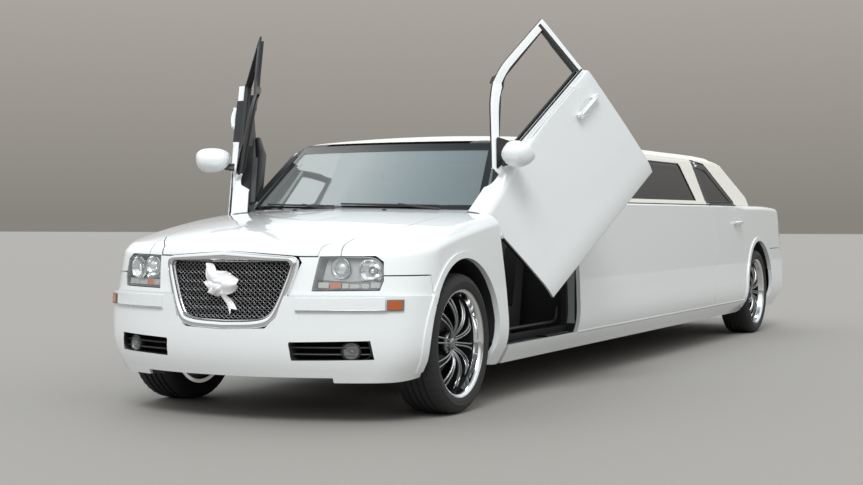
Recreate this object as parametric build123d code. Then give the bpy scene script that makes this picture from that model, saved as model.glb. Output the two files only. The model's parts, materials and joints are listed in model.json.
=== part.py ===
from build123d import *
from functools import cache
from math import asin, cos, degrees, radians, sin, sqrt
import os

# Stretch limousine, front doors raised on vertical-lift hinges.
# Millimetres. +X forward, +Y to the car's left, +Z up. Origin on the ground,
# midway between nose and tail, on the car's plane of symmetry.

os.makedirs("parts", exist_ok=True)

# Driving dimensions
FRONT_OVERHANG = 820
REAR_OVERHANG = 1130
STOCK_WHEELBASE = 3048
STRETCH = 3048
WHEELBASE = STOCK_WHEELBASE + STRETCH
LENGTH = FRONT_OVERHANG + WHEELBASE + REAR_OVERHANG
NOSE_X = LENGTH / 2
TAIL_X = -LENGTH / 2
FRONT_AXLE_X = NOSE_X - FRONT_OVERHANG
REAR_AXLE_X = FRONT_AXLE_X - WHEELBASE
HALF_WIDTH = 940
SILL_Z = 205
BELT_Z = 1095
ROOF_Z = 1523
SPLIT_GAP = 6
SKIN = 22
WALL = 112
FAR = 6000

# Wheels and tyres
TYRE_R = 360
TYRE_W = 245
RIM_R = 258
RIM_LIP_R = 272
WHEEL_Y = 795
ARCH_R = 436
FRONT_HOUSE_Y = 462
REAR_HOUSE_Y = 610

# Nose and tail in plan
NOSE_R = 1546
NOSE_CORNER_R = 290
TAIL_R = 3200
TAIL_CORNER_R = 240

# Plan outlines of the lower body, bottom to belt
# columns: height, nose set-back, tail set-back, side set-back
LEDGE_Z = 625
LOWER_LEVELS = [
    (SILL_Z, 55, 95, 78),
    (300, 14, 30, 24),
    (560, 0, 0, 0),
    (LEDGE_Z, 4, 6, 2),
]
UPPER_LEVELS = [
    (LEDGE_Z, 36, 22, 2),
    (760, 62, 34, 10),
    (900, 100, 52, 20),
    (BELT_Z + 50, 162, 88, 40),
]

# Crown of bonnet and front wings: distance ahead of the front axle, height on
# the centre line, height at the crown's edge
CROWN_HALF = 1000
BONNET_CROWN = [
    (-1500, 1096, 1094),
    (-1003, 1092, 1083),
    (-603, 1066, 1020),
    (-203, 1036, 968),
    (197, 990, 894),
    (547, 926, 806),
    (747, 868, 742),
    (900, 800, 660),
]
# The same for the boot, from the rear axle
DECK_CROWN = [
    (1300, 1097, 1094),
    (800, 1106, 1091),
    (293, 1126, 1085),
    (-407, 1134, 1080),
    (-807, 1126, 1062),
    (-1207, 1100, 1026),
]

# Plan outlines of the greenhouse: height, windscreen ahead of the front axle,
# rear window ahead of the rear axle, half width
ROOF_SPLIT_Z = 1452
CABIN_LEVELS = [
    (1030, -420, -490, 888),
    (1400, -888, 245, 752),
    (1455, -962, 352, 722),
    (1492, -1060, 450, 672),
    (1540, -1400, 700, 560),
]
SCREEN_R = 1600
SCREEN_CORNER_R = 110
BACKLIGHT_R = 1900
BACKLIGHT_CORNER_R = 230
# Roof crown: place from the front axle, centre height; the edge drops by ROOF_DROP
ROOF_DROP = 52
ROOF_FRONT = [
    (-700, 1370),
    (-1003, 1446),
    (-1203, 1478),
    (-1603, 1512),
    (-2003, ROOF_Z),
]
ROOF_REAR = [
    (1200, ROOF_Z),
    (800, 1516),
    (450, 1492),
    (100, 1438),
]

# Doors, in closed position; outlines are (x, z) from the door's front edge
DOOR_T = 70
DOOR_GAP = 7
HEM_T = 16
HEM = 16
SASH_GAP = 11
SASH_HEM_T = 11
SASH_HEM = 20
SASH_IN_Y = 640
GLASS_IN = 5
JAMB = 34
FRAME_T = 40
DOOR_BOTTOM_Z = 315
FRONT_DOOR_X = FRONT_AXLE_X - 598
FRONT_DOOR_L = 1045
REAR_DOOR_X = REAR_AXLE_X + 1399
REAR_DOOR_L = 890
WINDOW_Z = 1112
SASH_LOW_Z = 1000
DOOR_TOP_Z = BELT_Z + 1
FRONT_DOOR_LOWER = [(8, DOOR_BOTTOM_Z), (72, 1000), (62, DOOR_TOP_Z), (-FRONT_DOOR_L, DOOR_TOP_Z),
                    (-FRONT_DOOR_L, DOOR_BOTTOM_Z)]
FRONT_DOOR_FRAME = [(-178, SASH_LOW_Z), (-185, 1118), (-560, 1440), (-FRONT_DOOR_L - 40, 1445),
                    (-FRONT_DOOR_L, DOOR_TOP_Z), (-FRONT_DOOR_L, SASH_LOW_Z)]
FRONT_DOOR_WINDOW = [(-225, WINDOW_Z), (-590, 1402), (-FRONT_DOOR_L + 10, 1407),
                     (-FRONT_DOOR_L + 42, WINDOW_Z)]
FENDER_EDGE = [(40, 0), (40, DOOR_BOTTOM_Z), (132, 1000), (132, 1300), (2000, 1300), (2000, 0)]
REAR_DOOR_LOWER = [(0, DOOR_BOTTOM_Z), (0, DOOR_TOP_Z), (-REAR_DOOR_L, DOOR_TOP_Z), (-REAR_DOOR_L, 640),
                   (-REAR_DOOR_L + 75, DOOR_BOTTOM_Z)]
REAR_DOOR_FRAME = [(0, SASH_LOW_Z), (0, DOOR_TOP_Z), (15, 1445), (-320, 1422), (-REAR_DOOR_L + 60, 1120),
                   (-REAR_DOOR_L + 60, SASH_LOW_Z)]
REAR_DOOR_WINDOW = [(-92, WINDOW_Z), (-38, 1405), (-300, 1380), (-REAR_DOOR_L + 135, WINDOW_Z + 6)]
# The long window between the doors
LONG_WINDOW = [(FRONT_DOOR_X - FRONT_DOOR_L - 120, WINDOW_Z - 4), (FRONT_DOOR_X - FRONT_DOOR_L - 85, 1416),
               (REAR_DOOR_X + 387, 1416), (REAR_DOOR_X + 247, WINDOW_Z - 4)]

# The raised front door: lift, outward swing, lean and shift at its hinge
DOOR_LIFT = 43
DOOR_SWING = 25.5
DOOR_LEAN = -2.4
HINGE_X = FRONT_DOOR_X - 5
HINGE_Y = 880
HINGE_Z = 850
DOOR_SHIFT = (-32, -14, 104)
HINGE_LEAF = [(-60, 700), (10, 700), (20, 860), (-60, 860)]

# Bonnet and boot lid in plan: (x, half width)
BONNET_FRONT_X = NOSE_X - 40
BONNET_HINGE_X = FRONT_AXLE_X - 520
BONNET_PLAN = [(BONNET_HINGE_X, 700), (FRONT_AXLE_X + 150, 660), (FRONT_AXLE_X + 470, 575),
               (NOSE_X - 133, 445)]
BONNET_REAR_BULGE = 170
BONNET_BOTTOM_Z = 818
LID_HINGE_X = REAR_AXLE_X - 330
LID_HALF = 690
LID_BOTTOM_Z = 765

# Front bumper and lamps
BUMPER_TOP_Z = 720
BUMPER_REAR_X = FRONT_AXLE_X + 380
FASCIA_HALF = 560
REAR_BUMPER_X = REAR_AXLE_X - 400
HEADLAMP = [(447, 652), (468, 812), (715, 816), (750, 788), (758, 700), (745, 655)]
TAILLAMP = [(700, 790), (700, 1030), (905, 1050), (930, 800)]
FOG = [(360, 316), (352, 404), (720, 412), (735, 322)]
FOG_LAMP = (633, 361, 44)
LAMP_GAP = 4
LAMP_DEEP = DOOR_T
LENS_T = 5
LAMP_RIM = 8
# Round lamps behind each lens: centre (y, z), radius
HEAD_ROUNDS = [(548, 757, 48), (688, 744, 56)]
TAIL_ROUNDS = [(800, 970, 42), (802, 860, 42)]
# Rub bar across the bumper, below the lamps, and the lip round each wheel arch
BAR = [(388, 552), (388, 616), (790, 618), (790, 556)]
ARCH_LIP = 34
PROUD = 8
HANDLE_Z = 945
HANDLE_L = 190

# Grille: right half of the outer and inner outline, from the bottom up, seen from
# the front
GRILLE_OUTER = [(0, 461), (232, 470), (288, 520), (383, 786), (366, 812), (0, 838)]
GRILLE_INNER = [(0, 501), (214, 508), (262, 552), (345, 772), (334, 788), (0, 792)]
GRILLE_LEVELS = [(400, 2, 0, 0), (900, 50, 0, 0)]
GRILLE_DEEP = 60
MESH_BACK = 24
MESH_T = 8
MESH_BAR = 9
DIAMOND_W = 76
DIAMOND_H = 58
RIBBON_GAP = 0.3
# Ribbon bow: outline (y, z) and thickness of each piece
RIBBON = [
    ([(-140, 700), (-122, 758), (-88, 768), (-48, 728), (-52, 692), (-108, 678)], 34),
    ([(-60, 734), (18, 742), (52, 716), (42, 650), (-8, 636), (-58, 690)], 38),
    ([(-22, 642), (22, 652), (61, 557), (28, 550)], 7),
]

# Floor and bay
FLOOR_T = 45
FLOOR_HALF = 815
COWL_HALF = 702
COWL_SHOULDER = 640
DECK_HALF = 704
POST_Y = 746
POST_OUT_Y = 806
PILLAR_FOOT_Y = 846
PILLAR_FOOT_Z = 1072
REAR_FLOOR_X = REAR_AXLE_X + 480
REAR_FLOOR_Z = 470
DECK_FRONT_X = REAR_AXLE_X + 520
FLOOR_REAR_X = TAIL_X + 110
FIREWALL_X = FRONT_DOOR_X - 30
FIREWALL_T = 30
APRON_T = 14
APRON_TOP_Z = 840
RADIATOR_X = NOSE_X - 190

# Exhaust
EXHAUST_Y = 430
TIP_R = 36
TIP_Z = 290
PIPE_R = 27
PIPE_Z = 172

# What stands on or hangs from something keeps this clear of it
SEAT_GAP = 0.3

# Suspension
KING_PIN_Y = 720
WHEEL_SIDE_Y = 370
COLUMN_L = 200
COLUMN_PLACE = Pos(FIREWALL_X - 560, WHEEL_SIDE_Y, 860) * Rot(0, -65, 0)
SPINDLE_R = 30
SPINDLE_CLEAR = 0.05
KNUCKLE_LOW_Z = 190
KNUCKLE_HIGH_Z = 540
JOINT_CLEAR = 0.3
BALL_R = 24
HUB_L = 70
HUB_Y = KING_PIN_Y + 50
SPOKE_FACE_Y = HUB_Y + HUB_L
SPOKE_PAIRS = 10
# One of a pair of spokes: (radius, sideways) along its middle, its half width and depth
SPOKE_LINE = [(58, 8), (150, 9), (250, 25)]
SPOKE_HALF = 6.5
SPOKE_DEEP = 22


def box(x0, x1, y0, y1, z0, z1):
    """A block between two corners."""
    size = Box(abs(x1 - x0), abs(y1 - y0), abs(z1 - z0))
    return Pos((x0 + x1) / 2, (y0 + y1) / 2, (z0 + z1) / 2) * size


def plan_wire(z, nose_x, tail_x, half_w, nose_r, front_r, tail_r, rear_r, inset=0):
    """A closed outline at one height: crowned nose and tail, round corners."""
    half_w = half_w - inset

    def end(tip_x, tip_r, corner_r, way):
        tip_r = tip_r - inset
        corner_r = max(corner_r - inset, 20)
        tip_x = tip_x - way * inset
        s = (half_w - corner_r) / (tip_r - corner_r)
        c = sqrt(1 - s * s)
        centre_x = tip_x - way * (tip_r - (tip_r - corner_r) * c)
        centre_y = half_w - corner_r
        mid = radians((degrees(asin(s)) + 90) / 2)
        return [
            (tip_x, 0),
            (centre_x + way * corner_r * c, centre_y + corner_r * s),
            (centre_x + way * corner_r * cos(mid), centre_y + corner_r * sin(mid)),
            (centre_x, half_w),
        ]

    tip, arc_end, corner, side = end(nose_x, nose_r, front_r, 1)
    tail, tail_end, tail_corner, tail_side = end(tail_x, tail_r, rear_r, -1)

    def at(point, way=1):
        return Vector(point[0], way * point[1], z)

    edges = [
        Edge.make_three_point_arc(at(arc_end, -1), at(tip), at(arc_end)),
        Edge.make_three_point_arc(at(arc_end), at(corner), at(side)),
        Edge.make_line(at(side), at(tail_side)),
        Edge.make_three_point_arc(at(tail_side), at(tail_corner), at(tail_end)),
        Edge.make_three_point_arc(at(tail_end), at(tail), at(tail_end, -1)),
        Edge.make_three_point_arc(at(tail_end, -1), at(tail_corner, -1), at(tail_side, -1)),
        Edge.make_line(at(tail_side, -1), at(side, -1)),
        Edge.make_three_point_arc(at(side, -1), at(corner, -1), at(arc_end, -1)),
    ]
    return Wire(edges)


def crowned_block(stations, inset=0, floor_z=100, half=CROWN_HALF, ruled=False):
    """A block with a crowned top, lofted along X through arcs."""
    wires = []
    for x, centre_z, edge_z in stations:
        low = [Vector(x, -half, floor_z), Vector(x, half, floor_z)]
        high = [Vector(x, half, edge_z - inset), Vector(x, -half, edge_z - inset)]
        top = Vector(x, 0, centre_z - inset)
        wires.append(Wire([
            Edge.make_line(low[0], low[1]),
            Edge.make_line(low[1], high[0]),
            Edge.make_three_point_arc(high[0], top, high[1]),
            Edge.make_line(high[1], low[0]),
        ]))
    return Solid.make_loft(wires, ruled)


def stack(levels, inset):
    """The lower body between plan outlines; the ledge keeps its skin's thickness."""
    wires = []
    for z, nose_back, tail_back, side_back in levels:
        if z == LEDGE_Z:
            z = z - min(inset, SKIN)
        wires.append(plan_wire(
            z, NOSE_X - nose_back, TAIL_X + tail_back, HALF_WIDTH - side_back,
            NOSE_R, NOSE_CORNER_R, TAIL_R, TAIL_CORNER_R, inset))
    return Solid.make_loft(wires, True)


@cache
def deck_crown(inset):
    """What lies under the crown of the boot."""
    return crowned_block([(REAR_AXLE_X + dx, zc, ze) for dx, zc, ze in DECK_CROWN], inset)


@cache
def lower_body(inset=0, crown_inset=None):
    """Everything below the belt as one solid, set in by a skin's thickness."""
    crown_inset = inset if crown_inset is None else crown_inset
    front = [(FRONT_AXLE_X + dx, zc, ze) for dx, zc, ze in BONNET_CROWN]
    middle = box(REAR_AXLE_X + DECK_CROWN[0][0], front[0][0], -CROWN_HALF, CROWN_HALF, 100,
                 BELT_Z - crown_inset)
    top = crowned_block(front, crown_inset) + middle + deck_crown(crown_inset)
    return (stack(LOWER_LEVELS, inset) + stack(UPPER_LEVELS, inset)) & top


@cache
def cabin(inset=0):
    """The greenhouse as one solid, set in by a thickness."""
    wires = []
    for z, front_dx, rear_dx, half_w in CABIN_LEVELS:
        wires.append(plan_wire(
            z, FRONT_AXLE_X + front_dx, REAR_AXLE_X + rear_dx, half_w,
            SCREEN_R, SCREEN_CORNER_R, BACKLIGHT_R, BACKLIGHT_CORNER_R, inset))
    walls = Solid.make_loft(wires, True)
    stations = [(FRONT_AXLE_X + dx, z, z - ROOF_DROP) for dx, z in ROOF_FRONT]
    stations += [(REAR_AXLE_X + dx, z, z - ROOF_DROP) for dx, z in ROOF_REAR]
    return walls & crowned_block(stations, inset, 900, ruled=True)


def mirrored(solid):
    """The same piece on the car's right."""
    return solid.mirror(Plane.XZ)


def fused(*solids):
    """One body from several that touch or overlap."""
    total = solids[0]
    for solid in solids[1:]:
        total = total + solid
    return total


def prism_xz(points, x0=0, grow=0, y0=-FAR, y1=FAR):
    """A side-view outline, pulled across the car."""
    face = make_face(Polyline([(x0 + x, z) for x, z in points], close=True))
    if grow:
        face = offset(face, grow, kind=Kind.INTERSECTION)
    return Pos(0, y1, 0) * Rot(90, 0, 0) * extrude(face, y1 - y0)


def prism_yz(points, x0, x1, grow=0, both=False):
    """A front-view outline, pulled along the car; both gives left and right."""
    face = make_face(Polyline(points, close=True))
    if grow:
        face = offset(face, grow, kind=Kind.INTERSECTION)
    solid = Pos(x0, 0, 0) * (Plane.YZ * extrude(face, x1 - x0))
    return solid + mirrored(solid) if both else solid


def two_sided(half):
    """A symmetric outline from its right half."""
    return half + [(-y, z) for y, z in reversed(half) if y > 0]


def cylinder_y(x, z, radius, y0, y1):
    """A cylinder across the car."""
    return Pos(x, (y0 + y1) / 2, z) * Rot(90, 0, 0) * Cylinder(radius, abs(y1 - y0))


def mirrored_all(made):
    pieces = made if isinstance(made, (list, ShapeList)) else [made]
    return [mirrored(piece) for piece in pieces]


def write(name, made):
    """One sub-part, as one STEP file."""
    pieces = made if isinstance(made, (list, ShapeList)) else [made]
    solids = [one for piece in pieces for one in piece.solids()]
    shape = solids[0] if len(solids) == 1 else Compound(children=solids)
    shape.label = name
    export_step(shape, f"parts/{name}.step")


# Master solids
BODY = lower_body()
BODY_SKIN = BODY - lower_body(SKIN)
BODY_WALL = BODY - lower_body(WALL, SKIN)
CABIN = cabin()
CABIN_WALL = CABIN - cabin(FRAME_T)
LEFT = box(-FAR, FAR, 0.01, FAR, -FAR, FAR)

FRONT_HOUSE = fused(
    cylinder_y(FRONT_AXLE_X, TYRE_R, ARCH_R, FRONT_HOUSE_Y, 1200),
    cylinder_y(FRONT_AXLE_X, TYRE_R, ARCH_R, -1200, -FRONT_HOUSE_Y))
REAR_HOUSE = fused(
    cylinder_y(REAR_AXLE_X, TYRE_R, ARCH_R, REAR_HOUSE_Y, 1200),
    cylinder_y(REAR_AXLE_X, TYRE_R, ARCH_R, -1200, -REAR_HOUSE_Y))


def bonnet_prism(grow=0):
    """The bonnet's outline in plan, down over the top of the nose."""
    side = [(x, y + grow) for x, y in BONNET_PLAN]
    rear_x = BONNET_HINGE_X - grow
    front_x, front_half = side[-1]
    edges = [
        Edge.make_three_point_arc(Vector(rear_x, -side[0][1], 0),
                                  Vector(rear_x + BONNET_REAR_BULGE, 0, 0),
                                  Vector(rear_x, side[0][1], 0)),
        Edge.make_line(Vector(rear_x, side[0][1], 0), Vector(*side[1], 0)),
        Edge.make_line(Vector(*side[1], 0), Vector(*side[2], 0)),
        Edge.make_line(Vector(*side[2], 0), Vector(front_x, front_half, 0)),
        Edge.make_line(Vector(front_x, front_half, 0), Vector(BONNET_FRONT_X, front_half, 0)),
        Edge.make_line(Vector(BONNET_FRONT_X, front_half, 0), Vector(BONNET_FRONT_X, -front_half, 0)),
        Edge.make_line(Vector(BONNET_FRONT_X, -front_half, 0), Vector(front_x, -front_half, 0)),
        Edge.make_line(Vector(front_x, -front_half, 0), Vector(side[2][0], -side[2][1], 0)),
        Edge.make_line(Vector(side[2][0], -side[2][1], 0), Vector(side[1][0], -side[1][1], 0)),
        Edge.make_line(Vector(side[1][0], -side[1][1], 0), Vector(rear_x, -side[0][1], 0)),
    ]
    return Pos(0, 0, BONNET_BOTTOM_Z - grow) * extrude(make_face(Wire(edges)), 500)


def bumper_zone(grow=0):
    """What the front bumper cover takes of the nose."""
    wrap = box(BUMPER_REAR_X - grow, FAR, -FAR, FAR, 0, BUMPER_TOP_Z + grow)
    face = box(NOSE_X - 330, FAR, -FASCIA_HALF - grow, FASCIA_HALF + grow, 0, 1000)
    return wrap + face


def headlamp_prism(grow=0):
    return prism_yz(HEADLAMP, NOSE_X - 520, NOSE_X + 60, grow, both=True)


def grille_stack(inset):
    wires = []
    for z, back, _tail, _side in GRILLE_LEVELS:
        wires.append(plan_wire(z, NOSE_X - back, TAIL_X, HALF_WIDTH, NOSE_R, NOSE_CORNER_R,
                               TAIL_R, TAIL_CORNER_R, inset))
    return Solid.make_loft(wires, True)


def grille_prism(half, grow=0):
    return prism_yz(two_sided(half), NOSE_X - 260, NOSE_X + 60, grow)


def fog_prism(grow=0):
    return prism_yz(FOG, NOSE_X - 420, NOSE_X + 60, grow, both=True)


def arch_lip(axle_x):
    """The raised lip round a wheel arch, on the left."""
    ring = cylinder_y(axle_x, TYRE_R, ARCH_R + ARCH_LIP, 700, 1200)
    return (lower_body(-PROUD) - lower_body(SKIN)) & ring


def front_bumper():
    """Bumper cover with its rub bars, round grille, lamps and wheel arches."""
    lips = arch_lip(FRONT_AXLE_X) & box(-FAR, FAR, 0, FAR, SILL_Z + 30, BUMPER_TOP_Z)
    lips = lips & bumper_zone()
    bar = (lower_body(-PROUD) - lower_body(SKIN)) & prism_yz(BAR, NOSE_X - 400, NOSE_X + 60, both=True)
    solid = (BODY_SKIN & bumper_zone()) + lips + mirrored(lips) + bar
    solid = solid - bonnet_prism(SPLIT_GAP) - headlamp_prism(LAMP_GAP)
    solid = solid - box(NOSE_X - 330, FAR, -540, 540, 0, SILL_Z + 25)
    return solid - grille_prism(GRILLE_OUTER, 1) - fog_prism(1) - FRONT_HOUSE


def lamp_unit(outline, rounds, x0, x1):
    """A lamp bowl with round lamps in it, and the lens over it, on both sides."""
    prism = prism_yz(outline, x0, x1, both=True)
    pocket = prism_yz(outline, x0, x1, -LAMP_RIM, both=True)
    bowl = (lower_body(LENS_T) - lower_body(LAMP_DEEP)) & prism
    bowl = bowl - (pocket - lower_body(SKIN))
    barrels = [Pos((x0 + x1) / 2, y, z) * Rot(0, 90, 0) * Cylinder(radius, abs(x1 - x0))
               for y, z, radius in rounds]
    barrels = fused(*barrels, *[mirrored(barrel) for barrel in barrels])
    bowl = bowl + (barrels & (lower_body(HEM_T) - lower_body(LAMP_DEEP)) & prism)
    lens = (BODY - lower_body(LENS_T)) & prism
    return [bowl, lens]


def headlamps():
    return lamp_unit(HEADLAMP, HEAD_ROUNDS, NOSE_X - 520, NOSE_X + 60)


def fog_grilles():
    """Slatted grille with a round lamp, below each headlamp."""
    deep = BODY - lower_body(LAMP_DEEP)
    ring = deep & (fog_prism() - fog_prism(-7))
    layer = lower_body(HEM_T) - lower_body(LAMP_DEEP)
    y, z, radius = FOG_LAMP
    x0 = NOSE_X - 420
    lamp = Pos(x0 + 240, y, z) * Rot(0, 90, 0) * Cylinder(radius, 480)
    slats = [prism_yz([(340, high), (340, high + 9), (y, high + 9), (y, high)], x0, NOSE_X + 60, both=True)
             for high in (338, 360, 382)]
    inside = fused(lamp, mirrored(lamp), *slats)
    return ring + (layer & inside & fog_prism(-5))


def grille_surround():
    ring = grille_prism(GRILLE_OUTER) - grille_prism(GRILLE_INNER)
    return (grille_stack(-12) - grille_stack(GRILLE_DEEP)) & ring


def grille_mesh():
    """A plate of diamond holes, curved with the nose."""
    plate = (grille_stack(MESH_BACK) - grille_stack(MESH_BACK + MESH_T)) & grille_prism(GRILLE_INNER)
    half_y = DIAMOND_W / 2 - MESH_BAR * 0.8
    half_z = DIAMOND_H / 2 - MESH_BAR * 0.8
    mid_z = (GRILLE_INNER[0][1] + GRILLE_INNER[-1][1]) / 2
    holes = []
    for row in range(-5, 6):
        for column in range(-9, 10):
            if (row + column) % 2:
                continue
            y = column * DIAMOND_W / 2
            z = mid_z + row * DIAMOND_H / 2
            diamond = [(y - half_y, z), (y, z - half_z), (y + half_y, z), (y, z + half_z)]
            holes.append(make_face(Polyline(diamond, close=True)))
    cutter = Pos(NOSE_X - 160, 0, 0) * (Plane.YZ * extrude(Sketch() + holes, 200))
    return plate - (cutter & grille_prism(GRILLE_INNER, -8))


def fender_left():
    """Front wing with its arch lip and the liner over the wheel."""
    zone = prism_xz(FENDER_EDGE, FRONT_DOOR_X) & LEFT
    zone = zone - box(0, BONNET_HINGE_X, 0, COWL_HALF + SPLIT_GAP, 0, FAR)
    zone = zone - box(0, FRONT_AXLE_X - 200, 0, COWL_SHOULDER + SPLIT_GAP, 0, FAR)
    skin = ((BODY_SKIN + arch_lip(FRONT_AXLE_X)) & zone) - bonnet_prism(SPLIT_GAP) - bumper_zone(SPLIT_GAP)
    skin = skin - headlamp_prism(LAMP_GAP)
    liner = cylinder_y(FRONT_AXLE_X, TYRE_R, ARCH_R + 9, FRONT_HOUSE_Y, 905)
    liner = liner & box(FRONT_DOOR_X + 110, FAR, 0, FAR, 330, FAR) & lower_body(5)
    return (skin + liner - FRONT_HOUSE) - bumper_zone(SPLIT_GAP)


def bonnet():
    return (BODY_SKIN & bonnet_prism()) - grille_prism(GRILLE_OUTER, SPLIT_GAP)


def engine_bay():
    """Firewall, cowl, inner aprons and radiator panel."""
    inner = lower_body(SKIN + SEAT_GAP)
    wall = box(FIREWALL_X - FIREWALL_T, FIREWALL_X, -POST_Y, POST_Y, SILL_Z + FLOOR_T, FAR) & lower_body(5)
    cowl = BODY_SKIN & box(FIREWALL_X - 200, FRONT_AXLE_X - 300, -COWL_HALF, COWL_HALF, 900, FAR)
    cowl = cowl - bonnet_prism(SPLIT_GAP) - CABIN
    for way in (-1, 1):
        cowl = cowl - box(FRONT_DOOR_X + 126, FAR, way * COWL_SHOULDER, way * FAR, 0, FAR)
    apron = box(FIREWALL_X, FRONT_AXLE_X + 400, FRONT_HOUSE_Y - APRON_T, FRONT_HOUSE_Y, 330.3, APRON_TOP_Z)
    apron = apron + box(FIREWALL_X, RADIATOR_X, FRONT_HOUSE_Y - APRON_T, FRONT_HOUSE_Y, 330.3, 620)
    radiator = box(RADIATOR_X, RADIATOR_X + 30, -410, 410, 330.3, 740)
    radiator = radiator + box(RADIATOR_X, RADIATOR_X + 30, -FRONT_HOUSE_Y, FRONT_HOUSE_Y, 330.3, 620)
    apron = apron + mirrored(apron)
    return fused(wall, apron & inner, cowl, radiator & inner)


def doorway(lower, frame, x0):
    """What a door takes out of the body side, with the step it shuts against."""
    through = prism_xz(lower, x0, -JAMB) + prism_xz(frame, x0, -18)
    through = through & box(-FAR, FAR, 0, FAR, DOOR_BOTTOM_Z + JAMB, FAR)
    rebate = prism_xz(lower, x0, DOOR_GAP) & (BODY - lower_body(DOOR_T + DOOR_GAP))
    frame_cut = prism_xz(frame, x0, SASH_GAP)
    return through, rebate, frame_cut


def body_side_left():
    """The long welded side with its sill, posts and rear quarter."""
    zone = box(TAIL_X - 10, FIREWALL_X + 90, DECK_HALF + 1, FAR, 0, FAR)
    lower = (BODY_WALL & zone) - box(FRONT_DOOR_X - 10, FAR, 0, FAR, 0, FAR)
    lip = arch_lip(REAR_AXLE_X) & box(-FAR, FAR, 0, FAR, SILL_Z + 30, FAR)
    lower = lower + lip - REAR_HOUSE
    lower = lower - box(-FAR, REAR_BUMPER_X + SPLIT_GAP, 0, FAR, 0, BUMPER_TOP_Z + SPLIT_GAP)
    lower = lower - tail_prism(LAMP_GAP) - cabin(FRAME_T)
    upper = CABIN_WALL & box(-FAR, FAR, 480, FAR, 0, ROOF_SPLIT_Z)
    upper = upper - screen_prism(LAMP_GAP) - prism_xz(LONG_WINDOW)
    upper = upper - roof_zone(1) - box(-FAR, DECK_FRONT_X, 0, DECK_HALF, 0, BELT_Z + 4)
    side = lower + upper
    for outline, frame, x0 in ((FRONT_DOOR_LOWER, FRONT_DOOR_FRAME, FRONT_DOOR_X),
                               (REAR_DOOR_LOWER, REAR_DOOR_FRAME, REAR_DOOR_X)):
        through, rebate, frame_cut = doorway(outline, frame, x0)
        side = side - through - rebate - (frame_cut & box(-FAR, FAR, 0, FAR, BELT_Z - 40, FAR))
    brow = prism_xz(REAR_DOOR_LOWER, REAR_DOOR_X, DOOR_GAP) & box(-FAR, FAR, 0, FAR, BELT_Z - 40, FAR)
    rail = prism_xz(REAR_DOOR_FRAME, REAR_DOOR_X, SASH_GAP + 6)
    side = side - brow - (rail & box(-FAR, REAR_DOOR_X - 60, 0, FAR, BELT_Z - 40, FAR))
    side = side - box(FRONT_DOOR_X - 300, FRONT_DOOR_X, PILLAR_FOOT_Y, FAR, BELT_Z - 40, PILLAR_FOOT_Z)
    post = box(FRONT_DOOR_X - JAMB, FRONT_DOOR_X - 2, POST_Y, POST_OUT_Y, SILL_Z + FLOOR_T, FAR)
    foot = box(FRONT_DOOR_X - 230, FRONT_DOOR_X - 2, POST_Y, POST_OUT_Y, 960, FAR)
    root = box(FRONT_DOOR_X - 200, FRONT_DOOR_X - 104, POST_OUT_Y - 20, PILLAR_FOOT_Y, 1040, 1100)
    return fused(side, (post + foot) & lower_body(5), root & CABIN)


def roof_zone(grow=0):
    """Roof top and rear pillars, which the vinyl covers."""
    low_x = REAR_DOOR_X - REAR_DOOR_L + 49
    high = ROOF_SPLIT_Z + 60
    pillar = [(REAR_DOOR_X - 55, high), (REAR_DOOR_X - 55, ROOF_SPLIT_Z), (REAR_DOOR_X - 324, 1434),
              (low_x, 1128), (low_x, BELT_Z + 5), (-FAR, BELT_Z + 5), (-FAR, high)]
    return box(-FAR, FAR, -FAR, FAR, ROOF_SPLIT_Z - grow, FAR) + prism_xz(pillar, 0, grow)


def screen_prism(grow=0):
    outline = [(-770, 1050), (770, 1050), (640, 1436), (-640, 1436)]
    return prism_yz(outline, FRONT_AXLE_X - 1350, FRONT_AXLE_X - 200, grow)


def backlight_prism(grow=0):
    outline = [(-600, 1142), (600, 1142), (540, 1440), (-540, 1440)]
    return prism_yz(outline, REAR_AXLE_X - 500, REAR_AXLE_X + 480, grow)


def tail_prism(grow=0):
    return prism_yz(TAILLAMP, TAIL_X - 20, TAIL_X + 340, grow, both=True)


def roof():
    """Roof top with the rear pillars, which stand on the deck."""
    shell = (CABIN_WALL & roof_zone()) - screen_prism(LAMP_GAP) - backlight_prism(LAMP_GAP)
    return shell - deck_crown(-SEAT_GAP)


def glass(prism):
    return (cabin(GLASS_IN) - cabin(SASH_HEM_T)) & prism


def windscreen():
    return glass(screen_prism())


def rear_window():
    return glass(backlight_prism())


def side_glass():
    pane = glass(prism_xz(LONG_WINDOW)) & LEFT
    return [pane, mirrored(pane)]


def rear_bumper():
    """Bumper cover with its beam, arch lips and two pipe holes."""
    zone = box(-FAR, REAR_BUMPER_X, -FAR, FAR, 0, BUMPER_TOP_Z)
    middle = box(-FAR, TAIL_X + 300, -LID_HALF, LID_HALF, 0, LID_BOTTOM_Z - SPLIT_GAP)
    lips = arch_lip(REAR_AXLE_X) & box(-FAR, REAR_BUMPER_X, 0, FAR, SILL_Z + 30, BUMPER_TOP_Z)
    cover = (BODY_SKIN & (zone + middle)) + lips + mirrored(lips)
    cover = cover - REAR_HOUSE - tail_prism(LAMP_GAP)
    for y in (-EXHAUST_Y, EXHAUST_Y):
        cover = cover - Pos(TAIL_X + 150, y, TIP_Z) * Rot(0, 90, 0) * Cylinder(TIP_R + 8, 400)
    beam = box(TAIL_X, FLOOR_REAR_X, -560, 560, REAR_FLOOR_Z - 50, REAR_FLOOR_Z) & lower_body(5)
    return cover + beam


def tail_lamps():
    return lamp_unit(TAILLAMP, TAIL_ROUNDS, TAIL_X - 20, TAIL_X + 340)


def boot_lid():
    zone = box(-FAR, LID_HINGE_X, -LID_HALF, LID_HALF, LID_BOTTOM_Z, FAR)
    return BODY_SKIN & zone


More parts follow.
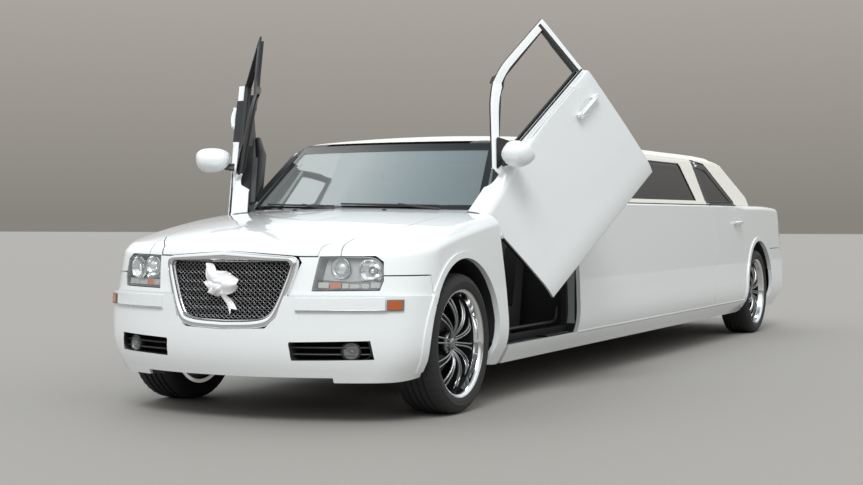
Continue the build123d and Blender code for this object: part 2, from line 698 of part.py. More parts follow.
def rear_deck():
    """The shelf under the rear window, its bulkhead and the boot lid's hinge tabs."""
    across = box(LID_HINGE_X + SPLIT_GAP, DECK_FRONT_X, -DECK_HALF, DECK_HALF, 900, FAR)
    inside = box(LID_HINGE_X + SPLIT_GAP, DECK_FRONT_X, -FAR, FAR, 900, FAR) & cabin(FRAME_T + 3)
    deck = fused(BODY_SKIN & across, BODY_SKIN & inside)
    bulkhead = box(REAR_FLOOR_X + 5, REAR_FLOOR_X + 25, -DECK_HALF, DECK_HALF, REAR_FLOOR_Z, FAR)
    bulkhead = bulkhead & lower_body(5)
    solid = fused(deck, bulkhead)
    for y in (-500, 500):
        tab = box(LID_HINGE_X - 60, LID_HINGE_X + 40, y - 25, y + 25, 1060, FAR)
        solid = solid + (tab & deck_crown(SKIN + SEAT_GAP))
    return solid


def floor_pan():
    main = box(REAR_FLOOR_X, FIREWALL_X, -FLOOR_HALF, FLOOR_HALF, SILL_Z, SILL_Z + FLOOR_T)
    riser = box(REAR_FLOOR_X, REAR_FLOOR_X + 30, -FLOOR_HALF, FLOOR_HALF, SILL_Z, REAR_FLOOR_Z)
    main = (main + riser) & lower_body(WALL, SKIN)
    rear = box(FLOOR_REAR_X, REAR_FLOOR_X + 30, -REAR_HOUSE_Y + 12, REAR_HOUSE_Y - 12,
               REAR_FLOOR_Z - 20, REAR_FLOOR_Z)
    house = box(REAR_AXLE_X - 450, REAR_FLOOR_X, REAR_HOUSE_Y - 12, REAR_HOUSE_Y - 1, REAR_FLOOR_Z - 20, 840)
    return fused(main, rear, house, mirrored(house))


def place_door(solid):
    """From shut to the raised place, turned about the hinge."""
    home = Pos(-HINGE_X, -HINGE_Y, -HINGE_Z)
    turn = Rot(0, 0, -DOOR_SWING) * Rot(DOOR_LEAN, 0, 0) * Rot(0, DOOR_LIFT, 0)
    out = Pos(HINGE_X + DOOR_SHIFT[0], HINGE_Y + DOOR_SHIFT[1], HINGE_Z + DOOR_SHIFT[2])
    return out * turn * home * solid


def door_handle(x_rear, y):
    """A pull handle on two feet."""
    bar = box(x_rear + 60, x_rear + 60 + HANDLE_L, y + 18, y + 32, HANDLE_Z, HANDLE_Z + 26)
    feet = [box(x, x + 30, y - 30, y + 20, HANDLE_Z + 2, HANDLE_Z + 24)
            for x in (x_rear + 64, x_rear + 56 + HANDLE_L - 30)]
    return fused(bar, *feet)


def door_solid(lower, frame, window, x0, length):
    """A door: full outer skin and sash on a smaller inner box, with its handle."""
    panel = (BODY - lower_body(HEM_T)) & prism_xz(lower, x0)
    panel = panel + ((lower_body(HEM_T) - lower_body(DOOR_T)) & prism_xz(lower, x0, -HEM))
    panel = (panel & box(-FAR, FAR, HALF_WIDTH - 150, FAR, 0, FAR)) - cabin(FRAME_T)
    sash = (CABIN - cabin(SASH_HEM_T)) & prism_xz(frame, x0)
    sash = sash + ((cabin(SASH_HEM_T) - cabin(FRAME_T)) & prism_xz(frame, x0, -SASH_HEM))
    sash = sash & box(-FAR, FAR, SASH_IN_Y, FAR, BELT_Z - 35, FAR)
    handle = door_handle(x0 - length, HALF_WIDTH - 22)
    return (panel + sash + handle) - prism_xz(window, x0)


@cache
def front_door_left():
    door = door_solid(FRONT_DOOR_LOWER, FRONT_DOOR_FRAME, FRONT_DOOR_WINDOW, FRONT_DOOR_X, FRONT_DOOR_L)
    return place_door(door)


def front_door_trims():
    """The inner panel of each raised door, with its armrest."""
    inner = lower_body(DOOR_T) - lower_body(DOOR_T + 22)
    trim = inner & prism_xz(FRONT_DOOR_LOWER, FRONT_DOOR_X, -28)
    trim = trim & box(-FAR, FRONT_DOOR_X - 75, HALF_WIDTH - 180, FAR, 0, BELT_Z - DOOR_T - 25)
    trim = place_door(trim)
    return [trim, mirrored(trim)]


def rear_door_left():
    return door_solid(REAR_DOOR_LOWER, REAR_DOOR_FRAME, REAR_DOOR_WINDOW, REAR_DOOR_X, REAR_DOOR_L)


def rear_door_glass_left():
    return glass(prism_xz(REAR_DOOR_WINDOW, REAR_DOOR_X)) & LEFT


def door_mirrors():
    """Mirror housings on the belt of the raised doors."""
    x, y, z = FRONT_DOOR_X - 245, HALF_WIDTH + 66, BELT_Z + 52
    rings = []
    for back, half_y, half_z in ((44, 62, 40), (10, 92, 64), (-44, 90, 60)):
        cut = half_z * 0.45
        top = [(half_y, half_z - cut), (half_y - cut, half_z),
               (cut - half_y, half_z), (-half_y, half_z - cut)]
        corners = [Vector(x + back, y + u, z + v) for u, v in top]
        corners += [Vector(x + back, y - u, z - v) for u, v in top]
        rings.append(Wire([Edge.make_line(a, b) for a, b in zip(corners, corners[1:] + corners[:1])]))
    housing = Solid.make_loft(rings, True)
    arm = box(x - 22, x + 18, HALF_WIDTH - 62, y - 60, BELT_Z + 6, BELT_Z + 34)
    foot = box(x - 30, x + 30, HALF_WIDTH - 110, HALF_WIDTH - 40, DOOR_TOP_Z + SEAT_GAP, BELT_Z + 24)
    solid = place_door(fused(housing, arm, foot) - cabin(-SEAT_GAP))
    return [solid, mirrored(solid)]


def door_hinges():
    """The lift hinge of each front door: post plate, link and door leaf."""
    plate_x = FRONT_DOOR_X - JAMB
    plate = box(plate_x - 12, plate_x, POST_Y + 4, POST_OUT_Y - 2, 560, 955)
    leaf = (lower_body(DOOR_T) - lower_body(DOOR_T + DOOR_GAP)) & prism_xz(HINGE_LEAF, FRONT_DOOR_X)
    leaf = place_door(leaf & box(0, FAR, HALF_WIDTH - 150, FAR, 0, FAR))
    middle = leaf.center()
    link = box(middle.X - 30, plate_x, POST_Y + 20, middle.Y + 12, middle.Z - 45, middle.Z + 25)
    solid = fused(plate, link, leaf) - front_door_left()
    solid = solid.solids().sort_by(SortBy.VOLUME)[-1]
    return [solid, mirrored(solid)]


def dashboard():
    """Dashboard with a padded brow, and the shroud that the steering column turns in."""
    outline = [(-FIREWALL_T, 640), (-FIREWALL_T, 1000), (-360, 1000), (-408, 982), (-422, 935),
               (-400, 865), (-330, 825), (-240, 660)]
    body = prism_xz(outline, FIREWALL_X, 0, 4 - POST_Y, POST_Y - 4)
    body = body & (cabin(FRAME_T + 3) + lower_body(WALL + 3, SKIN))
    return body + COLUMN_PLACE * Pos(0, 0, -COLUMN_L - 70) * Cylinder(36, 140)


def steering_wheel():
    """Rim, hub and three spokes on the end of the column."""
    ring = [(185 + 14 * cos(radians(a)), 14 * sin(radians(a))) for a in range(30, 390, 60)]
    rim = revolve(Plane.XZ * make_face(Polyline(ring, close=True)), Axis.Z)
    hub = Cylinder(42, 36)
    spokes = Box(350, 36, 14) + Pos(0, -90, 0) * Box(36, 170, 14)
    column = Pos(0, 0, -COLUMN_L / 2) * Cylinder(20, COLUMN_L - 2 * SEAT_GAP)
    return COLUMN_PLACE * Rot(0, 0, 90) * fused(rim, spokes, hub, column)


def front_seats():
    """Two seats: cushion and back in one profile, with a head restraint on posts."""
    seats = []
    for y in (-WHEEL_SIDE_Y, WHEEL_SIDE_Y):
        low = SILL_Z + FLOOR_T + SEAT_GAP
        outline = [(-470, 350), (-460, 500), (-760, 470), (-905, 1010),
                   (-985, 1030), (-990, 960), (-870, 350)]
        body = prism_xz(outline, FRONT_DOOR_X, 0, y - 245, y + 245)
        posts = [box(FRONT_DOOR_X - 968, FRONT_DOOR_X - 952, y + side - 8, y + side + 8, 1000, 1080)
                 for side in (-60, 60)]
        head = [(-910, 1065), (-925, 1215), (-985, 1225), (-1000, 1070)]
        head = prism_xz(head, FRONT_DOOR_X, 0, y - 130, y + 130)
        base = box(FRONT_DOOR_X - 860, FRONT_DOOR_X - 500, y - 200, y + 200, low, 360)
        seats.append(fused(body, base, head, *posts))
    return seats


def partition():
    x = FRONT_DOOR_X - 1250
    wall = box(x - 30, x, -800, 800, SILL_Z + FLOOR_T, 1430)
    wall = wall & (lower_body(WALL + 3, SKIN) + cabin(FRAME_T + 3))
    return wall - box(x - 40, x + 10, -520, 520, 1010, 1360)


def rear_seats():
    """Rear bench, and the long bench down the car's right."""
    low = SILL_Z + FLOOR_T + SEAT_GAP
    bench = [(-200, low), (-195, 520), (-220, 555), (-640, 530), (-760, 1040), (-850, 1050), (-800, low)]
    bench = prism_xz(bench, REAR_DOOR_X, 0, -640, 640)
    side = [(-330, low), (-325, 520), (-350, 555), (-680, 530), (-700, 980),
            (-785, 985), (-785, 420), (-762, low)]
    side = prism_yz(side, REAR_DOOR_X + 120, FRONT_DOOR_X - 1700)
    return [bench, side]


def engine():
    return box(FIREWALL_X + 110, FRONT_AXLE_X + 330, -300, 300, 330, 830)


def front_subframe():
    """Cross member with lower arms out to the knuckles, carrying the engine."""
    beam = box(FRONT_AXLE_X - 120, FRONT_AXLE_X + 120, -430, 430, 215, 270)
    rails = box(FIREWALL_X, RADIATOR_X + 30, 330, 400, 262, 330)
    mount = box(FRONT_AXLE_X - 60, FRONT_AXLE_X + 60, -200, 200, 269, 330 - SEAT_GAP)
    tower = box(FRONT_AXLE_X - 60, FRONT_AXLE_X + 60, 425, FRONT_HOUSE_Y - APRON_T, 230, 740)
    one = rails + tower
    for z, root_y in ((KNUCKLE_LOW_Z - 30, 380), (KNUCKLE_HIGH_Z + JOINT_CLEAR, FRONT_HOUSE_Y)):
        high = z + 30 - JOINT_CLEAR
        arm = Polyline([(FRONT_AXLE_X - 70, root_y), (FRONT_AXLE_X + 70, root_y),
                        (FRONT_AXLE_X + 15, KING_PIN_Y), (FRONT_AXLE_X - 15, KING_PIN_Y)], close=True)
        one = one + Pos(0, 0, z) * extrude(make_face(arm), high - z)
        one = one + Pos(FRONT_AXLE_X, KING_PIN_Y, (z + high) / 2) * Cylinder(BALL_R, high - z)
    one = one + box(FRONT_AXLE_X - 45, FRONT_AXLE_X + 45, 380, 425, KNUCKLE_LOW_Z - 30, 220)
    return fused(beam, mount, one, mirrored(one))


def knuckle_left():
    """Upright between two ball joints, brake disc and caliper, and wheel spindle."""
    upright = box(FRONT_AXLE_X - 35, FRONT_AXLE_X + 35, KING_PIN_Y - 20, KING_PIN_Y + 5,
                  KNUCKLE_LOW_Z + 20, KNUCKLE_HIGH_Z - 20)
    pin = Pos(FRONT_AXLE_X, KING_PIN_Y, (KNUCKLE_LOW_Z + KNUCKLE_HIGH_Z) / 2) * Cylinder(
        BALL_R, KNUCKLE_HIGH_Z - KNUCKLE_LOW_Z)
    disc = cylinder_y(FRONT_AXLE_X, TYRE_R, 165, KING_PIN_Y + 26, KING_PIN_Y + 46)
    hub = cylinder_y(FRONT_AXLE_X, TYRE_R, 60, KING_PIN_Y, HUB_Y)
    spindle = cylinder_y(FRONT_AXLE_X, TYRE_R, SPINDLE_R - SPINDLE_CLEAR, KING_PIN_Y + 40, HUB_Y + HUB_L)
    caliper = box(FRONT_AXLE_X - 190, FRONT_AXLE_X - 90, KING_PIN_Y, KING_PIN_Y + 66,
                  TYRE_R - 70, TYRE_R + 70)
    return fused(upright, pin, disc, hub, spindle, caliper)


def rear_axle():
    """Cross member, final drive, shafts, hubs and discs, hung under the floor."""
    beam = box(REAR_AXLE_X - 110, REAR_AXLE_X + 110, -560, 560, 290, 345)
    drive = box(REAR_AXLE_X - 130, REAR_AXLE_X + 130, -90, 90, 270, 430)
    solid = fused(beam, drive)
    for way in (-1, 1):
        solid = fused(
            solid,
            cylinder_y(REAR_AXLE_X, TYRE_R, 36, 0, way * (KING_PIN_Y + 10)),
            cylinder_y(REAR_AXLE_X, TYRE_R, 160, way * (KING_PIN_Y + 26), way * (KING_PIN_Y + 46)),
            cylinder_y(REAR_AXLE_X, TYRE_R, 60, way * KING_PIN_Y, way * HUB_Y),
            cylinder_y(REAR_AXLE_X, TYRE_R, SPINDLE_R - SPINDLE_CLEAR, way * (KING_PIN_Y + 40),
                       way * SPOKE_FACE_Y),
            box(REAR_AXLE_X - 60, REAR_AXLE_X + 60, way * 520, way * 590, 300, REAR_FLOOR_Z - 20 - SEAT_GAP))
    return solid


def revolved_y(profile):
    """A profile of (radius, y) turned about the Y axis."""
    return revolve(make_face(Polyline(profile, close=True)), Axis.Y)


def spoke_face():
    """Pairs of thin spokes that part towards the rim, in plan of the wheel."""
    faces = []
    for side in (-1, 1):
        left = [(side * s - SPOKE_HALF, r) for r, s in SPOKE_LINE]
        right = [(side * s + SPOKE_HALF, r) for r, s in reversed(SPOKE_LINE)]
        faces.append(make_face(Polyline(left + right, close=True)))
    return faces


@cache
def wheel_disc():
    """Deep-dish wheel about its own axle: barrel, ten pairs of spokes and hub."""
    inner_y = WHEEL_Y - TYRE_W / 2 + 6
    outer_y = WHEEL_Y + TYRE_W / 2 - 8
    barrel = revolved_y([(RIM_R - 14, inner_y), (RIM_LIP_R, inner_y), (RIM_LIP_R, inner_y + 12),
                         (RIM_R, inner_y + 16), (RIM_R, outer_y - 16), (RIM_LIP_R, outer_y - 12),
                         (RIM_LIP_R, outer_y), (RIM_R - 14, outer_y)])
    hub = revolved_y([(SPINDLE_R, HUB_Y + SEAT_GAP), (82, HUB_Y + SEAT_GAP), (66, SPOKE_FACE_Y - 3),
                      (52, SPOKE_FACE_Y), (SPINDLE_R, SPOKE_FACE_Y)])
    blades = []
    for face in spoke_face():
        blade = Pos(0, SPOKE_FACE_Y - 4, 0) * Rot(90, 0, 0) * extrude(face, SPOKE_DEEP)
        blades += [Rot(0, i * 360 / SPOKE_PAIRS, 0) * blade for i in range(SPOKE_PAIRS)]
    return fused(barrel, hub, *blades)


def rim(x, y_sign):
    wheel = Pos(x, 0, TYRE_R) * wheel_disc()
    return wheel if y_sign > 0 else mirrored(wheel)


def tyre(x, y_sign):
    half = TYRE_W / 2
    profile = [(RIM_LIP_R + 0.3, WHEEL_Y - half + 6), (RIM_LIP_R + 30, WHEEL_Y - half - 4),
               (TYRE_R - 22, WHEEL_Y - half + 2), (TYRE_R, WHEEL_Y - half + 24),
               (TYRE_R, WHEEL_Y + half - 24), (TYRE_R - 22, WHEEL_Y + half - 2),
               (RIM_LIP_R + 30, WHEEL_Y + half + 4), (RIM_LIP_R + 0.3, WHEEL_Y + half - 6),
               (RIM_LIP_R + 0.3, WHEEL_Y + half - 20), (RIM_R + 0.3, WHEEL_Y + half - 26),
               (RIM_R + 0.3, WHEEL_Y - half + 26), (RIM_LIP_R + 0.3, WHEEL_Y - half + 20)]
    solid = Pos(x, 0, TYRE_R) * revolved_y(profile)
    return solid if y_sign > 0 else mirrored(solid)


def exhaust():
    """Each side: the long pipe under the floor, a silencer and the tail pipe."""
    pipes = []
    for y in (-EXHAUST_Y, EXHAUST_Y):
        can = box(TAIL_X + 230, REAR_AXLE_X - 470, y - 110, y + 110, 215, REAR_FLOOR_Z - 20 - SEAT_GAP)
        tip = Pos(TAIL_X + 130, y, TIP_Z) * Rot(0, 90, 0) * Cylinder(TIP_R, 260)
        route = Polyline(
            (REAR_AXLE_X - 480, y, 252), (REAR_AXLE_X + 150, y, 246),
            (REAR_AXLE_X + 420, y, PIPE_Z), (FIREWALL_X - 400, y, PIPE_Z))
        start = Plane(origin=route @ 0, z_dir=route % 0)
        pipe = sweep(start * Circle(PIPE_R), path=route, transition=Transition.RIGHT)
        pipes.append(fused(can, tip, pipe))
    return pipes


def fuel_tank():
    return box(REAR_FLOOR_X + 60, REAR_FLOOR_X + 700, -380, 380, 150, SILL_Z - 0.3)


def ribbon_bow():
    """Two loops and a tail of ribbon, tied to the grille."""
    pieces = []
    for outline, thick in RIBBON:
        layer = grille_stack(MESH_BACK - RIBBON_GAP - thick) - grille_stack(MESH_BACK - RIBBON_GAP)
        pieces.append(layer & prism_yz(outline, NOSE_X - 200, NOSE_X + 60))
    return fused(*pieces)


SUB_PARTS = {
    "front_bumper": front_bumper, "headlamps": headlamps, "fog_grilles": fog_grilles,
    "grille_surround": grille_surround, "grille_mesh": grille_mesh, "fender_left": fender_left,
    "bonnet": bonnet, "engine_bay": engine_bay, "body_side_left": body_side_left, "roof": roof,
    "windscreen": windscreen, "rear_window": rear_window, "side_glass": side_glass,
    "rear_bumper": rear_bumper, "tail_lamps": tail_lamps, "boot_lid": boot_lid,
    "rear_deck": rear_deck, "floor_pan": floor_pan, "front_door_left": front_door_left,
    "front_door_trims": front_door_trims, "rear_door_left": rear_door_left,
    "rear_door_glass_left": rear_door_glass_left, "door_mirrors": door_mirrors,
    "door_hinges": door_hinges, "dashboard": dashboard, "steering_wheel": steering_wheel,
    "front_seats": front_seats, "partition": partition, "rear_seats": rear_seats,
    "engine": engine, "front_subframe": front_subframe, "knuckle_left": knuckle_left,
    "rear_axle": rear_axle, "exhaust": exhaust, "fuel_tank": fuel_tank, "ribbon_bow": ribbon_bow,
}
for name, make in SUB_PARTS.items():
    made = make()
    write(name, made)
    if name.endswith("_left"):
        write(name.replace("_left", "_right"), mirrored_all(made))

for end, x in (("front", FRONT_AXLE_X), ("rear", REAR_AXLE_X)):
    for way, sign in (("left", 1), ("right", -1)):
        write(f"rim_{end}_{way}", rim(x, sign))
        write(f"tyre_{end}_{way}", tyre(x, sign))
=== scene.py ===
import json
from math import radians

import bpy
import numpy as np
from mathutils import Matrix, Vector


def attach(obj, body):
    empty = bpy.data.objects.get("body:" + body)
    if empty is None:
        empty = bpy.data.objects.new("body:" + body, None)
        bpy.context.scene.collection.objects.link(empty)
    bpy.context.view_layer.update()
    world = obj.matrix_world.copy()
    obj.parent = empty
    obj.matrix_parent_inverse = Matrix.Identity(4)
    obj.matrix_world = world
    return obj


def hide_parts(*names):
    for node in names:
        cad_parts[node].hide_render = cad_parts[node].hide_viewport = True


# Dressed model of the stretch limousine, in metres, in the frame of the CAD.
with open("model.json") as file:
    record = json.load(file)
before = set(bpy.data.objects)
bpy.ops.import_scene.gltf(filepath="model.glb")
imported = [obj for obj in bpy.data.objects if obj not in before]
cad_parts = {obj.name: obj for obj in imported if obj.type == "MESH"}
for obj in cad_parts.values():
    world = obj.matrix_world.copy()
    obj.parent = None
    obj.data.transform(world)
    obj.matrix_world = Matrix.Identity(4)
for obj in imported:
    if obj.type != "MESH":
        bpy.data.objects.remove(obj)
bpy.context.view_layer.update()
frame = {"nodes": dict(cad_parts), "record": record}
NODES = frame["nodes"]
NODE_BODY = {node: name for name, nodes in frame["record"]["behaviour"]["bodies"].items() for node in nodes}

# Camera, from the calibration of the photograph
CAMERA_PLACE = (10.299, 4.194, 1.003)
CAMERA_YAW = 205.954715
CAMERA_PITCH = -0.932584
CAMERA_ROLL = -0.106462
CAMERA_LENS = 63.92


def setup_camera():
    """The photograph's own view."""
    yaw, pitch, roll = (radians(v) for v in (CAMERA_YAW, CAMERA_PITCH, CAMERA_ROLL))
    forward = Vector((np.cos(pitch) * np.cos(yaw), np.cos(pitch) * np.sin(yaw), np.sin(pitch)))
    right = forward.cross(Vector((0, 0, 1))).normalized()
    up = right.cross(forward)
    right_rolled = right * np.cos(roll) + up * np.sin(roll)
    up_rolled = right_rolled.cross(forward)
    turn = Matrix((right_rolled, up_rolled, -forward)).transposed().to_4x4()
    data = bpy.data.cameras.new("camera")
    data.lens = CAMERA_LENS
    data.sensor_width = 36
    data.clip_end = 200
    camera = bpy.data.objects.new("camera", data)
    camera.matrix_world = Matrix.Translation(CAMERA_PLACE) @ turn
    bpy.context.scene.collection.objects.link(camera)
    bpy.context.scene.camera = camera


def material(name, color, rough, metal=0.0, coat=0.0, specular=0.5, alpha=1.0, sheen=0.0):
    """A principled material with plain values."""
    made = bpy.data.materials.new(name)
    made.use_nodes = True
    shader = made.node_tree.nodes["Principled BSDF"]
    shader.inputs["Base Color"].default_value = (*color, 1)
    shader.inputs["Roughness"].default_value = rough
    shader.inputs["Metallic"].default_value = metal
    shader.inputs["Coat Weight"].default_value = coat
    shader.inputs["Coat Roughness"].default_value = 0.03
    shader.inputs["Specular IOR Level"].default_value = specular
    shader.inputs["Alpha"].default_value = alpha
    shader.inputs["Sheen Weight"].default_value = sheen
    return made


PAINT = material("white_paint", (0.80, 0.83, 0.84), 0.32, coat=1.0)
CHROME = material("chrome", (0.78, 0.79, 0.80), 0.06, metal=1.0)
BRIGHT = material("bright_trim", (0.70, 0.71, 0.72), 0.22, metal=1.0)
MESH_METAL = material("mesh_metal", (0.15, 0.15, 0.155), 0.24, metal=0.9)
MIRROR = material("mirror_glass", (0.80, 0.82, 0.84), 0.01, metal=1.0)
RUBBER = material("rubber", (0.018, 0.018, 0.019), 0.72)
RUBBER_TRIM = material("rubber_trim", (0.012, 0.012, 0.013), 0.45)
BLACK = material("black_plastic", (0.014, 0.014, 0.015), 0.48)
# Near black without gloss: painted shade for the hollows behind the grille and the fog lamps
RECESS_SHADE_BLACK = material("recess_shade_black", (0.003, 0.003, 0.003), 0.8, specular=0.1)
GLOSS_BLACK = material("gloss_black", (0.006, 0.006, 0.007), 0.06, coat=0.6)
TINT = material("tinted_glass", (0.008, 0.0055, 0.0045), 0.03, specular=0.12, alpha=0.97)
SCREEN = material("screen_glass", (0.52, 0.57, 0.58), 0.02, metal=0.75, alpha=0.60)
SPOKE = material("wheel_chrome", (0.30, 0.305, 0.31), 0.26, metal=1.0)
# Near black with little gloss: painted shade inside the wheels, behind the spokes
BARREL_SHADE = material("wheel_barrel_shade", (0.010, 0.010, 0.011), 0.7, specular=0.2)
# Inner faces of panels: partly the real black arch liners and trims, partly painted shade on white panels
# that lie deep, such as the engine bay's aprons and the doors' shut faces
INNER_DARK_AND_SHADE = material("inner_dark_and_shade", (0.020, 0.020, 0.021), 0.7, specular=0.25)
HEADLINER = material("headliner", (0.10, 0.10, 0.098), 0.9, specular=0.1)
CLEAR = material("clear_lens", (0.80, 0.84, 0.86), 0.02, coat=1.0, alpha=0.13)
CLEAR_DIM = material("clear_dim", (0.62, 0.64, 0.63), 0.12, coat=1.0)
RED_LENS = material("red_lens", (0.38, 0.012, 0.012), 0.05, coat=1.0, alpha=0.86)
RED_DEEP = material("red_deep", (0.20, 0.010, 0.010), 0.4)
AMBER = material("amber_lens", (0.46, 0.10, 0.022), 0.16, coat=1.0)
FOG_SILVER = material("fog_silver", (0.16, 0.165, 0.15), 0.30, metal=0.7)
LAMP_CHROME = material("lamp_chrome", (0.82, 0.83, 0.84), 0.12, metal=1.0)
LAMP_SILVER = material("lamp_silver", (0.42, 0.43, 0.42), 0.30, metal=0.85)
LAMP_GREY = material("lamp_grey", (0.20, 0.20, 0.20), 0.35, metal=0.4)
LAMP_PALE = material("lamp_pale", (0.60, 0.60, 0.58), 0.30, metal=0.5)
LAMP_GLASS = material("lamp_glass", (0.70, 0.74, 0.76), 0.03, metal=0.6, coat=1.0)
SATIN = material("satin", (0.84, 0.84, 0.86), 0.38, sheen=0.6)
STEEL = material("dark_steel", (0.06, 0.06, 0.065), 0.5, metal=0.6)
# The white paint darkened: painted shade on the door jambs
JAMB_SHADE = material("jamb_painted_shade", (0.30, 0.32, 0.33), 0.5)
# The white paint darkened: painted shadow in the dishes behind the door handles
SHADOW_GREY = material("cup_shadow_grey", (0.60, 0.63, 0.64), 0.5)
LEATHER = material("leather", (0.030, 0.029, 0.029), 0.5)
TRIM_GREY = material("trim_grey", (0.055, 0.056, 0.060), 0.55)
CARPET = material("carpet", (0.016, 0.016, 0.017), 0.9)
VINYL = material("vinyl", (0.78, 0.76, 0.70), 0.55)


def grained(made, scale, strength):
    """A fine grain in a material's surface."""
    tree = made.node_tree
    noise = tree.nodes.new("ShaderNodeTexNoise")
    bump = tree.nodes.new("ShaderNodeBump")
    place = tree.nodes.new("ShaderNodeTexCoord")
    noise.inputs["Scale"].default_value = scale
    noise.inputs["Detail"].default_value = 2
    bump.inputs["Strength"].default_value = strength
    bump.inputs["Distance"].default_value = 0.002
    tree.links.new(place.outputs["Object"], noise.inputs["Vector"])
    tree.links.new(noise.outputs["Fac"], bump.inputs["Height"])
    tree.links.new(bump.outputs["Normal"], tree.nodes["Principled BSDF"].inputs["Normal"])


grained(VINYL, 420, 0.35)
grained(LEATHER, 180, 0.25)
grained(BLACK, 500, 0.15)

OF_SLOT = {
    "white_paint": PAINT, "vinyl": VINYL, "chrome": CHROME, "black_plastic": BLACK, "dark_steel": STEEL,
    "tinted_glass": TINT, "clear_glass": SCREEN, "tyre": RUBBER, "trim": TRIM_GREY, "seat_leather": LEATHER,
    "carpet": CARPET,
}


def dress_nodes():
    """Gives each CAD node the finish of its slot."""
    for part in frame["record"]["subparts"]:
        made = OF_SLOT.get(part["material_slot"])
        thing = NODES.get(part["node"])
        if made is None or thing is None:
            continue
        thing.data.materials.clear()
        thing.data.materials.append(made)


# The body's surface, as in the CAD: height, set-backs of nose, tail and side
FRONT_AXLE = 3.203
REAR_AXLE = -2.893
TIP = 4.023
HALF_WIDTH = 0.940
LEDGE = 0.625
BELT = 1.095
SKIN = 0.022
LOW = np.array([(0.205, 0.055, 0.095, 0.078), (0.300, 0.014, 0.030, 0.024), (0.560, 0, 0, 0),
                (LEDGE, 0.004, 0.006, 0.002)])
HIGH = np.array([(LEDGE, 0.036, 0.022, 0.002), (0.760, 0.062, 0.034, 0.010), (0.900, 0.100, 0.052, 0.020),
                 (1.145, 0.162, 0.088, 0.040)])
# Radius and corner radius in plan, of the nose and of the tail
BODY_ENDS = (1.546, 0.290, 3.200, 0.240)
# The greenhouse: height, front, rear, half width
CABIN = np.array([(1.030, 2.783, -3.383, 0.888), (1.400, 2.315, -2.648, 0.752), (1.455, 2.241, -2.541, 0.722),
                  (1.492, 2.143, -2.443, 0.672), (1.540, 1.803, -2.193, 0.560)])
CABIN_ENDS = (1.600, 0.110, 1.900, 0.230)
# Crowns: place from the nearer axle, height at the middle and one metre out; roof: place, height
CROWN_FRONT = np.array([(-1.500, 1.096, 1.094), (-1.003, 1.092, 1.083), (-0.603, 1.066, 1.020),
                        (-0.203, 1.036, 0.968), (0.197, 0.990, 0.894), (0.547, 0.926, 0.806),
                        (0.747, 0.868, 0.742), (0.900, 0.800, 0.660)])
CROWN_REAR = np.array([(-1.207, 1.100, 1.026), (-0.807, 1.126, 1.062), (-0.407, 1.134, 1.080),
                       (0.293, 1.126, 1.085), (0.800, 1.106, 1.091), (1.300, 1.097, 1.094)])
ROOF = np.array([(-2.793, 1.438), (-2.443, 1.492), (-2.093, 1.516), (-1.693, 1.523), (-1.300, 1.523),
                 (0.800, 1.523), (1.200, 1.523), (1.600, 1.512), (2.000, 1.478), (2.200, 1.446),
                 (2.503, 1.370)])
ROOF_DROP = 0.052
ROOF_SKIN = 0.040
# Depths at which the panels' surfaces lie
SNAPS = np.array([-0.008, 0.0, 0.005, 0.011, 0.016, SKIN, ROOF_SKIN, 0.070, 0.112])
# Slack within which points count as lying on a surface, a crown, the roof or a seam
SNAP_SLACK = 0.0008
CROWN_SLACK = 0.004
ROOF_SLACK = 0.006
SEAM = 0.0008
SEAM_LOW = 2e-4
# Heights from which the crown's and the roof's edges are rounded
CROWN_FROM = 0.70
ROOF_FROM = 1.36
# The cabin's lean, bent evenly between its two lowest rows
LEAN = CABIN[1] - CABIN[0]
CABIN_FINE = np.vstack([CABIN[0], CABIN[0] + LEAN * 0.6, CABIN[0] + LEAN * 0.88, CABIN[1:]])
# Rounding of the shoulder by place along the car, and of the roof's edge
SHOULDER = ([-3.9, -2.5, -2.2, 2.0, 2.45, 3.0, 3.9], [0.035, 0.035, 0.012, 0.012, 0.05, 0.055, 0.04])
ROOF_ROUND = 0.05
# How deep rounded edges reach, how deep faces keep the white paint before the dark of liners and painted
# shade begins, and how deep the lining's inner side reaches
ROUND_DEEP = 0.045
DARK_AND_SHADE_DEPTH = 0.0245
LINING_DEEP = 0.03
# Longest edges: share of a rounding's radius, in panels and inside; those along the car may be longer
# in the straight middle, by (distance from the middle, weight of their length)
ROUND_STEP = 0.36
PANEL_STEP = 0.045
INNER_STEP = 0.3
LONG_EDGES = ([2.2, 2.6], [0.3, 1.0])
# Raised doors' window frames: least half width, counted from the cabin's, above a height
SASH_DEEP = 0.034
SASH_FROM = 1.30
# Window frame corner (x, z), the line that halves it, and how far and strongly it's rounded
SASH_CORNER = np.array((2.045, 1.440))
SASH_BISECTOR = np.array((-0.342, -0.940))
SASH_REACH = 0.17
SASH_BEND = 0.878
# Wheel arches: as in the CAD, then as drawn closer to the tyres, and how far out that is felt
ARCHED = ("front_bumper", "fender_left", "fender_right", "body_side_left", "body_side_right", "rear_bumper",
          "rear_door_left", "rear_door_right")
TYRE_R = 0.360
ARCH_R = 0.430
ARCH_FINE_R = 0.398
ARCH_RISE = 0.032
ARCH_REACH = 0.56
ARCH_Y = 0.70
# Front pillar, sill of the front doors' window frames and the rear doors' frame strip
PILLAR_X = 1.56
SASH_FOOT = 1.112
REAR_SASH_W = 0.095


def slopes(xs, ys):
    """Tangents for a smooth curve through points."""
    steps = np.diff(ys) / np.diff(xs)
    widths = np.diff(xs)
    mids = (steps[:-1] * widths[1:] + steps[1:] * widths[:-1]) / (widths[1:] + widths[:-1])
    return np.concatenate([[steps[0]], mids, [steps[-1]]])


